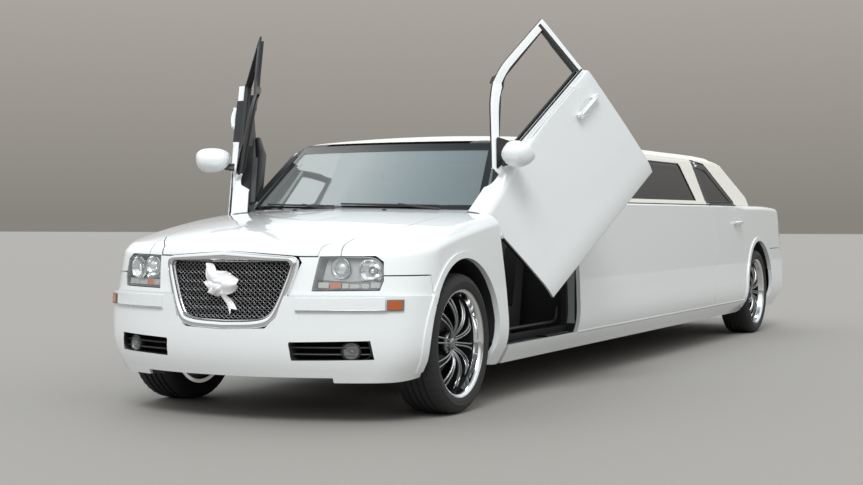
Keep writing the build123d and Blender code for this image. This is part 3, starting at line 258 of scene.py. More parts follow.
def curve(table, column, at):
    """A smooth curve through a column of a table, read at some heights or places."""
    xs, ys = table[:, 0], table[:, column]
    tangent = slopes(xs, ys)
    at = np.clip(at, xs[0], xs[-1])
    i = np.clip(np.searchsorted(xs, at, side="right") - 1, 0, len(xs) - 2)
    width = xs[i + 1] - xs[i]
    t = (at - xs[i]) / width
    return ((2 * t**3 - 3 * t**2 + 1) * ys[i] + (t**3 - 2 * t**2 + t) * width * tangent[i]
            + (3 * t**2 - 2 * t**3) * ys[i + 1] + (t**3 - t**2) * width * tangent[i + 1])


def straight(table, column, at):
    """The same with straight pieces, as the CAD's lofts have them."""
    return np.interp(at, table[:, 0], table[:, column])


def plan_depth(x, y, tips, half, ends):
    """How far inside a plan outline points lie, and the way out, for y at least 0."""
    nose_r, nose_corner, tail_r, tail_corner = ends
    front = x > (tips[0] + tips[1]) / 2
    way = np.where(front, 1.0, -1.0)
    tip = np.where(front, tips[0], tips[1])
    radius = np.where(front, nose_r, tail_r)
    corner = np.where(front, nose_corner, tail_corner)
    share = (half - corner) / (radius - corner)
    corner_x = tip - way * (radius - (radius - corner) * np.sqrt(1 - share**2))
    corner_y = half - corner
    arc_x = tip - way * radius
    ahead = way * (x - corner_x)
    from_arc = np.hypot(x - arc_x, y)
    in_nose = (ahead > -0.3) & (y < share * from_arc) & (way * (x - arc_x) > 0)
    from_corner = np.hypot(x - corner_x, y - corner_y)
    in_corner = (ahead > 0) & (y > corner_y) & ~in_nose
    in_nose = in_nose & (radius - from_arc < half - y)
    depth = np.where(in_nose, radius - from_arc, np.where(in_corner, corner - from_corner, half - y))
    safe = np.maximum(from_corner, 1e-6)
    out_x = np.where(in_nose, (x - arc_x) / from_arc, np.where(in_corner, (x - corner_x) / safe, 0))
    out_y = np.where(in_nose, y / from_arc, np.where(in_corner, (y - corner_y) / safe, 1))
    return depth, out_x, out_y


def snapped(depth):
    """Depths that lie on one of the panel surfaces are set right on it."""
    near = SNAPS[np.argmin(np.abs(depth[:, None] - SNAPS), axis=1)]
    return np.where(np.abs(depth - near) < SNAP_SLACK, near, depth)


def body_outline(table, z, read):
    """The lower body's plan outline at some heights: tips, half width and the ends' radii."""
    tips = (TIP - read(table, 1, z), -TIP + read(table, 2, z))
    return tips, HALF_WIDTH - read(table, 3, z), BODY_ENDS


def cabin_outline(table, z, read):
    """The greenhouse's plan outline at some heights."""
    return (read(table, 1, z), read(table, 2, z)), read(table, 3, z), CABIN_ENDS


def settle(points, table, outline, chosen):
    """Moves chosen points in plan from the CAD's straight lofts to smooth ones."""
    x, y, z = (points[chosen, i] for i in range(3))
    side = np.where(y < 0, -1.0, 1.0)
    y = np.abs(y)
    depth = snapped(plan_depth(x, y, *outline(table, z, straight))[0])
    for _ in range(2):
        now, out_x, out_y = plan_depth(x, y, *outline(table, z, curve))
        x = x + (now - depth) * out_x
        y = y + (now - depth) * out_y
    points[chosen, 0] = x
    points[chosen, 1] = y * side
    return depth


def crown_height(x, y):
    """The smooth top of bonnet, belt and boot."""
    front = x > FRONT_AXLE + CROWN_FRONT[0, 0]
    rear = x < REAR_AXLE + CROWN_REAR[-1, 0]
    mid = np.where(front, curve(CROWN_FRONT, 1, x - FRONT_AXLE),
                   np.where(rear, curve(CROWN_REAR, 1, x - REAR_AXLE), BELT))
    edge = np.where(front, curve(CROWN_FRONT, 2, x - FRONT_AXLE),
                    np.where(rear, curve(CROWN_REAR, 2, x - REAR_AXLE), BELT - 1e-4))
    return arc_height(mid, mid - edge, y)


def arc_height(mid, sag, y):
    """Height of an arc across the car that drops by a sag one metre out."""
    sag = np.maximum(sag, 1e-5)
    radius = (1 + sag**2) / (2 * sag)
    return mid - (radius - np.sqrt(radius**2 - y**2))


def roof_height(x, y):
    """The smooth top of the roof."""
    return arc_height(curve(ROOF, 1, x), np.full_like(x, ROOF_DROP), y)


def rounded(points, a, b, radius, chosen, out):
    """Rounds the edge between a side, a deep, and a top, b deep."""
    s = b - a
    near = chosen & (np.abs(s) < radius) & (np.minimum(a, b) < ROUND_DEEP)
    r, s = radius[near], s[near]
    turn = np.where(s > 0, np.pi / 4 * (1 - s / r), np.pi / 2 - np.pi / 4 * (1 + s / r))
    move_in = r - r * np.cos(turn) - np.maximum(-s, 0)
    move_down = r - r * np.sin(turn) - np.maximum(s, 0)
    points[near, 0] -= move_in * out[near, 0]
    points[near, 1] -= move_in * out[near, 1]
    points[near, 2] -= move_down


def smooth_lower(points, chosen):
    """The panels below the belt."""
    z = points[:, 2]
    for table, part in ((LOW, chosen & (z < LEDGE - SEAM_LOW)), (HIGH, chosen & (z > LEDGE + SEAM_LOW))):
        settle(points, table, body_outline, part)
    x, y, z = points.T.copy()
    top = crown_height(x, np.abs(y))
    b = top - z
    for level in (0.0, SKIN):
        near = chosen & (np.abs(b - level) < CROWN_SLACK) & (z > CROWN_FROM)
        points[near, 2] = top[near] - level
    b = top - points[:, 2]
    a, out_x, out_y = plan_depth(x, np.abs(y), *body_outline(HIGH, z, curve))
    radius = shoulder_radius(x)
    out = np.stack([out_x, out_y * np.where(y < 0, -1, 1)], axis=1)
    rounded(points, a, b, radius, chosen & (z > LEDGE + 0.02), out)


def smooth_cabin(points, chosen, door=False):
    """The panels and panes above the belt."""
    if door:
        z = points[chosen, 2]
        y = points[chosen, 1]
        half = curve(CABIN_FINE, 3, z)
        y = y + np.sign(y) * (half - straight(CABIN_FINE, 3, z))
        points[chosen, 1] = np.where(z > SASH_FROM, np.sign(y) * np.maximum(np.abs(y), half - SASH_DEEP), y)
        return
    settle(points, CABIN_FINE, cabin_outline, chosen)
    x, y, z = points.T.copy()
    top = roof_height(x, np.abs(y))
    b = top - z
    for level in (0.0, ROOF_SKIN):
        near = chosen & (np.abs(b - level) < ROOF_SLACK) & (z > ROOF_FROM)
        points[near, 2] = top[near] - level
    b = top - points[:, 2]
    a, out_x, out_y = plan_depth(x, np.abs(y), *cabin_outline(CABIN_FINE, z, curve))
    out = np.stack([out_x, out_y * np.where(y < 0, -1, 1)], axis=1)
    rounded(points, a, b, np.full(len(x), ROOF_ROUND), chosen & (z > ROOF_FROM), out)


def turn_matrix(axis, angle):
    """A turn about one axis, in degrees."""
    return np.array(Matrix.Rotation(radians(angle), 3, axis))


# The raised front door, as the CAD places it: turn and shift at its hinge
DOOR_HINGE = np.array((2.600, 0.880, 0.850))
DOOR_SHIFT = np.array((-0.032, -0.014, 0.104))
DOOR_TURN = turn_matrix("Z", -25.5) @ turn_matrix("X", -2.4) @ turn_matrix("Y", 43)


def shut(points):
    """From the raised door's place to where it lies when shut."""
    return DOOR_HINGE + (points - DOOR_HINGE - DOOR_SHIFT) @ DOOR_TURN


def raised(points):
    """From where the door lies when shut to its raised place."""
    return DOOR_HINGE + DOOR_SHIFT + (points - DOOR_HINGE) @ DOOR_TURN.T


def mesh_arrays(thing):
    """Points and triangles of an object's mesh, with equal points merged."""
    mesh = thing.data
    mesh.calc_loop_triangles()
    points = np.empty(len(mesh.vertices) * 3, np.float32)
    mesh.vertices.foreach_get("co", points)
    faces = np.empty(len(mesh.loop_triangles) * 3, np.int32)
    mesh.loop_triangles.foreach_get("vertices", faces)
    points = points.reshape(-1, 3).astype(float)
    faces = faces.reshape(-1, 3)
    _keys, first, index = np.unique(np.round(points, 5), axis=0, return_index=True, return_inverse=True)
    faces = index.reshape(-1)[faces]
    keep = (faces[:, 0] != faces[:, 1]) & (faces[:, 1] != faces[:, 2]) & (faces[:, 0] != faces[:, 2])
    return points[first], faces[keep]


def split_edges(points, faces, pairs, index, split, middle):
    """Cuts the triangles at new points on some of their edges."""
    number = np.full(len(pairs), -1)
    number[split] = len(points) + np.arange(split.sum())
    points = np.concatenate([points, middle[split]])
    mids = number[index.reshape(-1)].reshape(3, -1).T
    count = (mids >= 0).sum(axis=1)
    made = [faces[count == 0]]
    for turn in range(3):
        a, b, c = faces[:, turn], faces[:, (turn + 1) % 3], faces[:, (turn + 2) % 3]
        ab, bc, ca = mids[:, turn], mids[:, (turn + 1) % 3], mids[:, (turn + 2) % 3]
        one = (count == 1) & (ab >= 0)
        made += [np.stack(t, axis=1)[one] for t in ((a, ab, c), (ab, b, c))]
        two = (count == 2) & (ca < 0)
        made += [np.stack(t, axis=1)[two] for t in ((ab, b, bc), (a, ab, bc), (a, bc, c))]
    three = count == 3
    a, b, c = faces[three].T
    ab, bc, ca = mids[three].T
    made += [np.stack(t, axis=1) for t in ((a, ab, ca), (ab, b, bc), (ca, bc, c), (ab, bc, ca))]
    return points, np.concatenate(made)


def edge_pairs(points, faces):
    """The mesh's edges as pairs of points, and each triangle side's number in that list."""
    edges = np.sort(np.concatenate([faces[:, [0, 1]], faces[:, [1, 2]], faces[:, [2, 0]]]), axis=1)
    keys = edges[:, 0] * len(points) + edges[:, 1]
    _keys, first, index = np.unique(keys, return_index=True, return_inverse=True)
    return edges[first], index


def refined(points, faces, step, rounds=12):
    """Splits every edge that is longer than it should be, without cracks."""
    for _ in range(rounds):
        pairs, index = edge_pairs(points, faces)
        a, b = points[pairs[:, 0]], points[pairs[:, 1]]
        middle = (a + b) / 2
        split = step(middle, b - a)
        if not split.any():
            break
        points, faces = split_edges(points, faces, pairs, index, split, middle)
    return points, faces


def sliced(points, faces, value):
    """Cuts the triangles along the line where a value changes its sign."""
    pairs, index = edge_pairs(points, faces)
    a, b = value[pairs[:, 0]], value[pairs[:, 1]]
    split = (a * b < 0) & (np.minimum(np.abs(a), np.abs(b)) > 3e-4)
    share = np.where(split, a / np.where(split, a - b, 1), 0)[:, None]
    middle = points[pairs[:, 0]] * (1 - share) + points[pairs[:, 1]] * share
    return split_edges(points, faces, pairs, index, split, middle)


def new_object(name, points, faces, made, body="body", angle=28, others=()):
    """A mesh object with smooth shading that rides on a body; others are (material, its faces)."""
    mesh = bpy.data.meshes.new(name)
    mesh.vertices.add(len(points))
    mesh.vertices.foreach_set("co", np.asarray(points, np.float32).ravel())
    mesh.loops.add(3 * len(faces))
    mesh.loops.foreach_set("vertex_index", np.asarray(faces, np.int32).ravel())
    mesh.polygons.add(len(faces))
    mesh.polygons.foreach_set("loop_start", np.arange(0, 3 * len(faces), 3, dtype=np.int32))
    mesh.update(calc_edges=True)
    mesh.shade_smooth()
    mesh.set_sharp_from_angle(angle=radians(angle))
    thing = bpy.data.objects.new(name, mesh)
    bpy.context.scene.collection.objects.link(thing)
    mesh.materials.append(made)
    number = np.zeros(len(faces), np.int32)
    for more, chosen in others:
        number[chosen] = len(mesh.materials)
        mesh.materials.append(more)
    mesh.polygons.foreach_set("material_index", number)
    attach(thing, body)
    return thing


def shoulder_radius(x):
    """Rounding between the body's side and its top."""
    return np.interp(x, SHOULDER[0], SHOULDER[1])


def body_step(middle, along):
    """Which edges are too long: short ones are needed round the shoulder and the roof's edge."""
    x, y, z = middle.T
    long_way = np.interp(np.abs(x), *LONG_EDGES)
    length = np.sqrt((along[:, 0] * long_way)**2 + along[:, 1]**2 + along[:, 2]**2)
    low = z < BELT + SEAM
    depth = np.where(low, plan_depth(x, np.abs(y), *body_outline(HIGH, z, curve))[0],
                     plan_depth(x, np.abs(y), *cabin_outline(CABIN_FINE, z, curve))[0])
    under = np.where(low, crown_height(x, np.abs(y)), roof_height(x, np.abs(y))) - z
    radius = np.where(low, shoulder_radius(x), ROOF_ROUND)
    inner = np.minimum(depth, under)
    near = (np.abs(depth - under) < radius * 1.2) & (inner < LINING_DEEP)
    inside = (inner > LINING_DEEP) & (z > LEDGE)
    return length > np.where(near, radius * ROUND_STEP, np.where(inside, INNER_STEP, PANEL_STEP))


def arched(points):
    """Draws the arches' lower ends towards the tyres, as a circle set a little higher than the wheel."""
    points = points.copy()
    for axle in (FRONT_AXLE, REAR_AXLE):
        x, z = points[:, 0] - axle, points[:, 2] - TYRE_R
        r = np.maximum(np.hypot(x, z), 1e-6)
        up, along = z / r, x / r
        goal = ARCH_RISE * up + np.sqrt(ARCH_FINE_R**2 - (ARCH_RISE * along)**2)
        share = np.clip((ARCH_REACH - r) / (ARCH_REACH - ARCH_R), 0, 1)
        near = (np.abs(points[:, 1]) > ARCH_Y) & (r > ARCH_R - 0.004) & (r < ARCH_REACH)
        scale = np.where(near, 1 + (goal - ARCH_R) * share**1.5 / r, 1)
        points[:, 0] = axle + x * scale
        points[:, 2] = TYRE_R + z * scale
    return points


def cornered(points):
    """Rounds the upper front corner of the shut front door's window frame."""
    flat = points[:, [0, 2]] - SASH_CORNER
    s = np.abs(flat @ (-SASH_BISECTOR[1], SASH_BISECTOR[0])) / -SASH_BISECTOR[1]
    move = np.where(points[:, 2] > BELT + 0.06, np.clip(SASH_REACH - s, 0, None)**2 / SASH_BEND, 0)
    return points + np.column_stack([move * SASH_BISECTOR[0], np.zeros(len(points)), move * SASH_BISECTOR[1]])


def above_belt(points):
    """Which points belong to the greenhouse and not to the body below it."""
    return points[:, 2] > np.maximum(BELT, crown_height(points[:, 0], np.abs(points[:, 1]))) + SEAM


def surface_depth(points):
    """How deep points lie under the body's sides and top, and the way out of its side."""
    x, y, z = points.T
    upper = above_belt(points)
    low = plan_depth(x, np.abs(y), *outline_at(z), BODY_ENDS)
    high = plan_depth(x, np.abs(y), *cabin_outline(CABIN_FINE, z, curve))
    deep, out_x, out_y = (np.where(upper, h, l) for h, l in zip(high, low))
    under = np.where(upper, roof_height(x, np.abs(y)), crown_height(x, np.abs(y))) - z
    return deep, under, np.column_stack([out_x, out_y * np.where(y < 0, -1, 1), np.zeros(len(x))])


def inner_depth(points):
    """How deep points lie under the nearest outer surface."""
    deep, under, _out = surface_depth(points)
    return np.minimum(deep, under)


def face_frames(points, faces):
    """Middles and normals of triangles."""
    corners = points[faces]
    normal = np.cross(corners[:, 1] - corners[:, 0], corners[:, 2] - corners[:, 0])
    return corners.mean(axis=1), normal / np.maximum(np.linalg.norm(normal, axis=1), 1e-12)[:, None]


def roof_lining(points, faces):
    """The roof's inner faces."""
    middle, normal = face_frames(points, faces)
    deep, under, out = surface_depth(middle)
    facing = (normal * out).sum(axis=1)
    return (normal[:, 2] < -0.4) | (facing < -0.3) | (np.minimum(deep, under) > LINING_DEEP)


def panel_finish_and_shade(points, faces, node):
    """Which faces of a panel aren't painted white: inner ones are dark, partly as real liners and trim and
    partly as painted shade on deep white faces, and the sides above the belt are vinyl.
    """
    middle, normal = face_frames(points, faces)
    deep, under, out = surface_depth(middle)
    facing = (normal * out).sum(axis=1)
    upper = above_belt(middle)
    inner = np.minimum(deep, under)
    outer = (facing > 0.5) & (deep < 0.012)
    # Faces lying deep, and inward faces a little less deep, get the dark: real liners and trims, and painted
    # shade where white faces lie deep
    dark = ~upper & ((inner > DARK_AND_SHADE_DEPTH) | ((facing < -0.5) & (inner > 0.010)))
    if "front_door" in node:
        outer = outer | ((normal[:, 2] > 0.7) & (middle[:, 2] < SASH_FOOT))
    if "rear_door" in node:
        outer = outer & (middle[:, 0] > REAR_DOOR_X - REAR_SASH_W)
    if "door" in node:
        return (INNER_DARK_AND_SHADE, dark), (RUBBER_TRIM, upper & ~outer)
    pillar = middle[:, 0] > PILLAR_X
    vinyl = upper & ~pillar & (facing > 0.3) & (deep < 0.03)
    painted = upper & pillar & outer & (normal[:, 0] < 0.45)
    return (INNER_DARK_AND_SHADE, dark), (VINYL, vinyl), (RUBBER_TRIM, upper & ~vinyl & ~painted)


def smooth_panel(node, made, body="body", door=False, cabin_only=False):
    """Replaces a panel's node by a finer mesh of the same form, smooth and rounded."""
    points, faces = mesh_arrays(NODES[node])
    flip = points[:, 1].mean() < 0 and door
    if flip:
        points = points * (1, -1, 1)
    if door:
        points = shut(points)
    points, faces = refined(points, faces, body_step)
    upper = points[:, 2] > BELT + SEAM
    if cabin_only:
        upper[:] = True
    smooth_lower(points, ~upper)
    smooth_cabin(points, upper, door)
    if node in ARCHED:
        points = arched(points)
    others = ()
    if node == "roof":
        others = ((HEADLINER, roof_lining(points, faces)),)
    elif not cabin_only and node not in ("bonnet", "boot_lid"):
        # Cut where the dark of liners and painted shade begins
        points, faces = sliced(points, faces, inner_depth(points) - DARK_AND_SHADE_DEPTH)
        others = panel_finish_and_shade(points, faces, node)
    if door:
        points = raised(cornered(points))
    if flip:
        points = points * (1, -1, 1)
    thing = new_object(node + "_fine", points, faces, made, body, others=others)
    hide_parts(node)
    return thing


PANELS = ("front_bumper", "fender_left", "fender_right", "bonnet", "engine_bay", "rear_bumper", "boot_lid",
          "rear_deck")


def dress_body():
    """Painted panels, doors and panes as fine smooth meshes."""
    for node in PANELS:
        smooth_panel(node, PAINT, NODE_BODY[node])
    for side in ("left", "right"):
        smooth_panel("body_side_" + side, PAINT)
        smooth_panel("front_door_" + side, PAINT, door=True)
        smooth_panel("rear_door_" + side, PAINT, NODE_BODY["rear_door_" + side])
        smooth_panel("rear_door_glass_" + side, TINT, NODE_BODY["rear_door_" + side], cabin_only=True)
    for node in ("rear_window", "side_glass"):
        smooth_panel(node, TINT, cabin_only=True)
    smooth_panel("roof", VINYL, cabin_only=True)


def grid(points, round_u=False, round_v=False, caps=False):
    """Triangles of a grid of points; caps close the two ends of a tube-like grid."""
    points = np.asarray(points, float)
    n, m = points.shape[:2]
    index = np.arange(n * m).reshape(n, m)
    if round_u:
        index = np.vstack([index, index[:1]])
    if round_v:
        index = np.hstack([index, index[:, :1]])
    a, b, c, d = index[:-1, :-1], index[1:, :-1], index[1:, 1:], index[:-1, 1:]
    faces = np.concatenate([np.stack([a, b, c], -1).reshape(-1, 3), np.stack([a, c, d], -1).reshape(-1, 3)])
    flat = points.reshape(-1, 3)
    if caps:
        for row, way in ((0, 1), (n - 1, -1)):
            centre = len(flat)
            flat = np.vstack([flat, points[row].mean(axis=0)])
            ring = np.arange(row * m, row * m + m)
            fan = np.stack([np.full(m, centre), ring, np.roll(ring, -1)], -1)
            faces = np.vstack([faces, fan[:, ::way]])
    return flat, faces


def joined(*pieces):
    """Several pieces of mesh as one."""
    points, faces, count = [], [], 0
    for some, tris in pieces:
        points.append(np.asarray(some, float))
        faces.append(np.asarray(tris) + count)
        count += len(some)
    return np.concatenate(points), np.concatenate(faces)


def flipped(piece):
    """The same piece on the car's right."""
    return piece[0] * (1, -1, 1), piece[1][:, ::-1]


def both(piece):
    """A piece on the left and its mirror image."""
    return joined(piece, flipped(piece))


def block(x0, x1, y0, y1, z0, z1):
    """A box between two corners."""
    points = np.array([(x, y, z) for x in (x0, x1) for y in (y0, y1) for z in (z0, z1)], float)
    quads = ((0, 1, 3, 2), (4, 6, 7, 5), (0, 4, 5, 1), (2, 3, 7, 6), (0, 2, 6, 4), (1, 5, 7, 3))
    faces = [t for q in quads for t in ((q[0], q[1], q[2]), (q[0], q[2], q[3]))]
    return points, np.array(faces)


def lathe(profile, centre, segments=64, spin="y"):
    """A profile of (radius, along) turned about an axis through a centre."""
    profile = np.asarray(profile, float)
    angle = np.linspace(0, 2 * np.pi, segments, endpoint=False)[:, None]
    r, along = profile[:, 0][None], np.broadcast_to(profile[:, 1][None], (segments, len(profile)))
    u, v = r * np.cos(angle), r * np.sin(angle)
    order = (u, along, v) if spin == "y" else (along, u, v)
    return grid(np.stack(order, -1) + np.asarray(centre), round_u=True)


def tube(path, radius, sides=8, closed=False, squeeze=1.0):
    """A round or flattened bar along a path."""
    path = np.asarray(path, float)
    ahead = (np.roll(path, -1, 0) - np.roll(path, 1, 0)) if closed else np.gradient(path, axis=0)
    ahead /= np.linalg.norm(ahead, axis=1)[:, None]
    up = np.array((0, 0, 1.0)) if abs(ahead[:, 2]).mean() < 0.8 else np.array((1.0, 0, 0))
    across = np.cross(ahead, up)
    across /= np.linalg.norm(across, axis=1)[:, None]
    over = np.cross(across, ahead)
    angle = np.linspace(0, 2 * np.pi, sides, endpoint=False)
    radius = np.broadcast_to(radius, len(path))[:, None, None]
    c, s = np.cos(angle)[None, :, None], np.sin(angle)[None, :, None]
    ring = across[:, None] * c + over[:, None] * s * squeeze
    return grid(path[:, None] + ring * radius, round_u=closed, round_v=True, caps=not closed)


def soft_outline(corners, steps=6):
    """A closed outline through corners of (a, b, rounding), each rounded off."""
    corners = np.asarray(corners, float)
    out = []
    for i, (a, b, size) in enumerate(corners):
        here = np.array((a, b))
        before, after = corners[i - 1, :2] - here, corners[(i + 1) % len(corners), :2] - here
        start = here + before / np.linalg.norm(before) * min(size, np.linalg.norm(before) * 0.49)
        end = here + after / np.linalg.norm(after) * min(size, np.linalg.norm(after) * 0.49)
        for t in np.linspace(0, 1, steps):
            out.append((1 - t)**2 * start + 2 * t * (1 - t) * here + t**2 * end)
    return np.array(out)


def mirrored_outline(half):
    """A symmetric outline from its right half of (y, z, rounding)."""
    return list(half) + [(-y, z, r) for y, z, r in reversed(half) if y > 0]


def outline_at(z):
    """The lower body's smooth plan outline at some heights."""
    low, high = (body_outline(table, z, curve) for table in (LOW, HIGH))
    up = z > LEDGE
    return [np.where(up, h, l) for h, l in zip(high[0], low[0])], np.where(up, high[1], low[1])


def end_x(y, z, deep=0.0, end=1):
    """Where the nose's or tail's surface lies, set in by a depth."""
    y, z = np.abs(np.asarray(y, float)), np.asarray(z, float)
    tips, half = outline_at(z)
    tip = tips[0] if end > 0 else tips[1]
    radius, corner = BODY_ENDS[:2] if end > 0 else BODY_ENDS[2:]
    share = (half - corner) / (radius - corner)
    corner_x = tip - end * (radius - (radius - corner) * np.sqrt(1 - share**2))
    corner_y = half - corner
    on_arc = tip - end * (radius - np.sqrt(np.maximum((radius - deep)**2 - y**2, 0)))
    on_corner = corner_x + end * np.sqrt(np.maximum((corner - deep)**2 - (y - corner_y)**2, 0))
    return np.where(y <= share * (radius - deep), on_arc, on_corner)


def grille_x(y, z, deep=0.0):
    """The grille's own curved surface."""
    radius = BODY_ENDS[0]
    tip = TIP - 0.002 - 0.048 * (np.asarray(z, float) - 0.4) / 0.5
    return tip - radius + np.sqrt((radius - deep)**2 - np.asarray(y, float)**2)


def patch(outline, where, deep=0.0, longest=0.02):
    """A closed outline of (y, z), filled and laid on a surface."""
    flat = np.vstack([outline, outline.mean(axis=0)])
    n = len(outline)
    ring = np.arange(n)
    faces = np.stack([np.full(n, n), ring, np.roll(ring, -1)], -1)
    points = np.column_stack([np.zeros(n + 1), flat])
    points, faces = refined(points, faces, lambda middle, along: np.linalg.norm(along, axis=1) > longest)
    points[:, 0] = where(points[:, 1], points[:, 2], deep)
    return points, faces


def wall(outline, where, deeps):
    """A rim of surface that follows an outline through several depths, each with its own shrink."""
    rows = []
    centre = np.asarray(outline).mean(axis=0)
    for deep, shrink in deeps:
        away = outline - centre
        ring = outline - away / np.linalg.norm(away, axis=1)[:, None] * shrink
        rows.append(np.column_stack([where(ring[:, 0], ring[:, 1], deep), ring]))
    return grid(np.array(rows), round_v=True)


def tail_x(y, z, deep=0.0):
    """Where the tail's surface lies."""
    return end_x(y, z, deep, -1)


WHEEL_Y = 0.795
# Tyre, rim and hub sections: (radius, outwards from the wheel's middle)
TYRE_HALF = [(0.359, 0.069), (0.3585, 0.080), (0.3555, 0.096), (0.349, 0.108), (0.340, 0.1155),
             (0.330, 0.1205), (0.318, 0.1240), (0.3165, 0.1255), (0.3135, 0.1255), (0.312, 0.1245),
             (0.300, 0.1245), (0.288, 0.1205), (0.279, 0.1155), (0.2735, 0.112)]
GROOVES = (0.017, 0.052)
TREAD_BLOCKS = 144
RIM_SECTION = [(0.252, -0.110), (0.272, -0.112), (0.270, -0.104), (0.262, -0.098), (0.246, -0.070),
               (0.242, 0.000), (0.243, 0.040), (0.247, 0.058), (0.252, 0.070), (0.256, 0.082), (0.258, 0.092),
               (0.260, 0.101), (0.263, 0.106), (0.2665, 0.1085), (0.270, 0.1100), (0.2740, 0.1120),
               (0.2755, 0.1135), (0.2765, 0.1145), (0.2775, 0.1135), (0.278, 0.1115), (0.2765, 0.1085)]
HUB_SECTION = [(0.001, 0.0745), (0.012, 0.0742), (0.022, 0.0720), (0.029, 0.0670), (0.031, 0.0600),
               (0.036, 0.0590), (0.050, 0.0640), (0.058, 0.0620), (0.064, 0.0520), (0.066, 0.0300),
               (0.066, 0)]
NUT_SECTION = [(0.0001, 0.0665), (0.006, 0.0660), (0.0075, 0.060), (0.0075, 0.055)]
BARREL_SECTION = [(0.2600, -0.0975), (0.2445, -0.070), (0.2408, 0.0), (0.2416, 0.040), (0.2456, 0.058),
                  (0.2500, 0.069)]
NUTS_R = 0.046
SPOKE_PAIRS = 10
SPOKE_TURN = 0.16
SPOKE_STEPS = 22
# A spoke's section: (share of half its width, height)
SPOKE_SECTION = ((-1, -0.006), (-1, 0.003), (-0.55, 0.0062), (0, 0.0072), (0.55, 0.0062), (1, 0.003),
                 (1, -0.006))
# Spokes: (radius, outwards, half the space between a pair)
SPOKES = np.array([(0.034, 0.052, 0.006), (0.055, 0.070, 0.0065), (0.085, 0.087, 0.007),
                   (0.120, 0.0945, 0.0085), (0.155, 0.0920, 0.011), (0.190, 0.0810, 0.0140),
                   (0.222, 0.0640, 0.0170), (0.2475, 0.0460, 0.0195)])


def tyre_mesh():
    """Tyre with grooved tread and shoulder blocks."""
    tread = []
    for y in GROOVES:
        tread += [(TYRE_R, y - 0.0065), (0.3525, y - 0.0050), (0.3525, y + 0.0050), (TYRE_R, y + 0.0065)]
    half = tread + TYRE_HALF
    profile = [(r, -y) for r, y in reversed(half)] + half
    points, faces = lathe(profile, (0, 0, 0), TREAD_BLOCKS)
    ring = points.reshape(TREAD_BLOCKS, len(profile), 3)
    shoulder = np.array([0.066 < abs(y) < 0.11 for _r, y in profile])
    low = np.arange(TREAD_BLOCKS) % 3 == 0
    scale = np.where(low[:, None] & shoulder[None], 0.988, 1.0)
    ring[..., 0] *= scale
    ring[..., 2] *= scale
    return ring.reshape(-1, 3), faces


def spoke_mesh():
    """Ten pairs of thin domed spokes."""
    pieces = []
    t = np.linspace(0, 1, SPOKE_STEPS)
    place = np.linspace(0, 1, len(SPOKES))
    r, out, apart = (curve(np.column_stack([place, SPOKES[:, i]]), 1, t) for i in range(3))
    width = np.interp(t, [0, 0.3, 1], [0.0052, 0.0042, 0.0052])
    for i in range(SPOKE_PAIRS):
        angle = i * 2 * np.pi / SPOKE_PAIRS + SPOKE_TURN
        c, s = np.cos(angle), np.sin(angle)
        for side in (-1, 1):
            middle = np.stack([r * s + side * apart * c, out, r * c - side * apart * s], -1)
            rows = [middle + np.outer(width * u, (c, 0, -s)) + (0, v, 0) for u, v in SPOKE_SECTION]
            pieces.append(grid(np.stack(rows, 1), round_v=True, caps=True))
    return joined(*pieces)


def dress_wheels():
    """Tyres and chrome wheels with domed spokes, hubs, nuts and a barrel inside, near black as painted shade
    within the wheel.
    """
    tyre = tyre_mesh()
    rim = lathe(RIM_SECTION, (0, 0, 0), 96)
    chrome = joined(rim, spoke_mesh(), lathe(HUB_SECTION, (0, 0, 0), 40))
    spoke_faces = np.arange(len(chrome[1])) >= len(rim[1])
    nuts = joined(*[lathe(NUT_SECTION, (NUTS_R * np.cos(a), 0, NUTS_R * np.sin(a)), 6)
                    for a in np.arange(5) * 2 * np.pi / 5])
    # The barrel inside the rim, dark as painted shade
    dark = lathe(BARREL_SECTION, (0, 0, 0), 96)
    for end, x in (("front", FRONT_AXLE), ("rear", REAR_AXLE)):
        for way, sign in (("left", 1), ("right", -1)):
            body = f"wheel_{end}_{way}"
            place = np.array((x, WHEEL_Y, TYRE_R))
            for name, piece, made, node, angle in (("tyre", tyre, RUBBER, f"tyre_{end}_{way}", 35),
                                                   ("rim", chrome, CHROME, f"rim_{end}_{way}", 40),
                                                   ("nuts", nuts, SPOKE, None, 30),
                                                   ("barrel", dark, BARREL_SHADE, None, 30)):
                piece = (piece[0] + place, piece[1])
                if sign < 0:
                    piece = flipped(piece)
                others = ((SPOKE, spoke_faces),) if name == "rim" else ()
                thing = new_object(f"{name}_{end}_{way}_fine", *piece, made, body, angle, others)
                if node:
                    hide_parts(node)


# Grille outlines as in the CAD: (y, z, rounding)
GRILLE_OUTER = [(0, 0.461, 0), (0.232, 0.468, 0.16), (0.300, 0.520, 0.12), (0.380, 0.770, 0.10),
                (0.366, 0.814, 0.035), (0, 0.840, 0.001)]
GRILLE_INNER = [(0, 0.500, 0), (0.214, 0.507, 0.12), (0.268, 0.552, 0.10), (0.346, 0.765, 0.08),
                (0.335, 0.7895, 0.012), (0, 0.7935, 0.001)]
GRILLE_MIDDLE = (0, 0.65)
# Chrome frame: (share of the way from the outer to the inner outline, depth)
FRAME_SECTION = ((-0.03, 0.020), (-0.02, 0.004), (0.0, -0.005), (0.12, -0.0105), (0.35, -0.0135),
                 (0.6, -0.0130), (0.82, -0.009), (0.93, -0.001), (0.985, 0.012), (1.0, 0.040))
# Lip inside the frame: (depth, shrink)
LIP_SECTION = ((0.010, 0.0), (0.0075, 0.003), (0.010, 0.0065), (0.024, 0.007))
# Woven wires: height of the lowest, rise along the slant, pitch, radius, weave
WIRE_Z = 0.488
WIRE_RISE = 0.82
WIRE_PITCH = 0.0262
WIRE_R = 0.0031
WIRE_WEAVE = 0.0028
WIRE_DEEP = 0.030


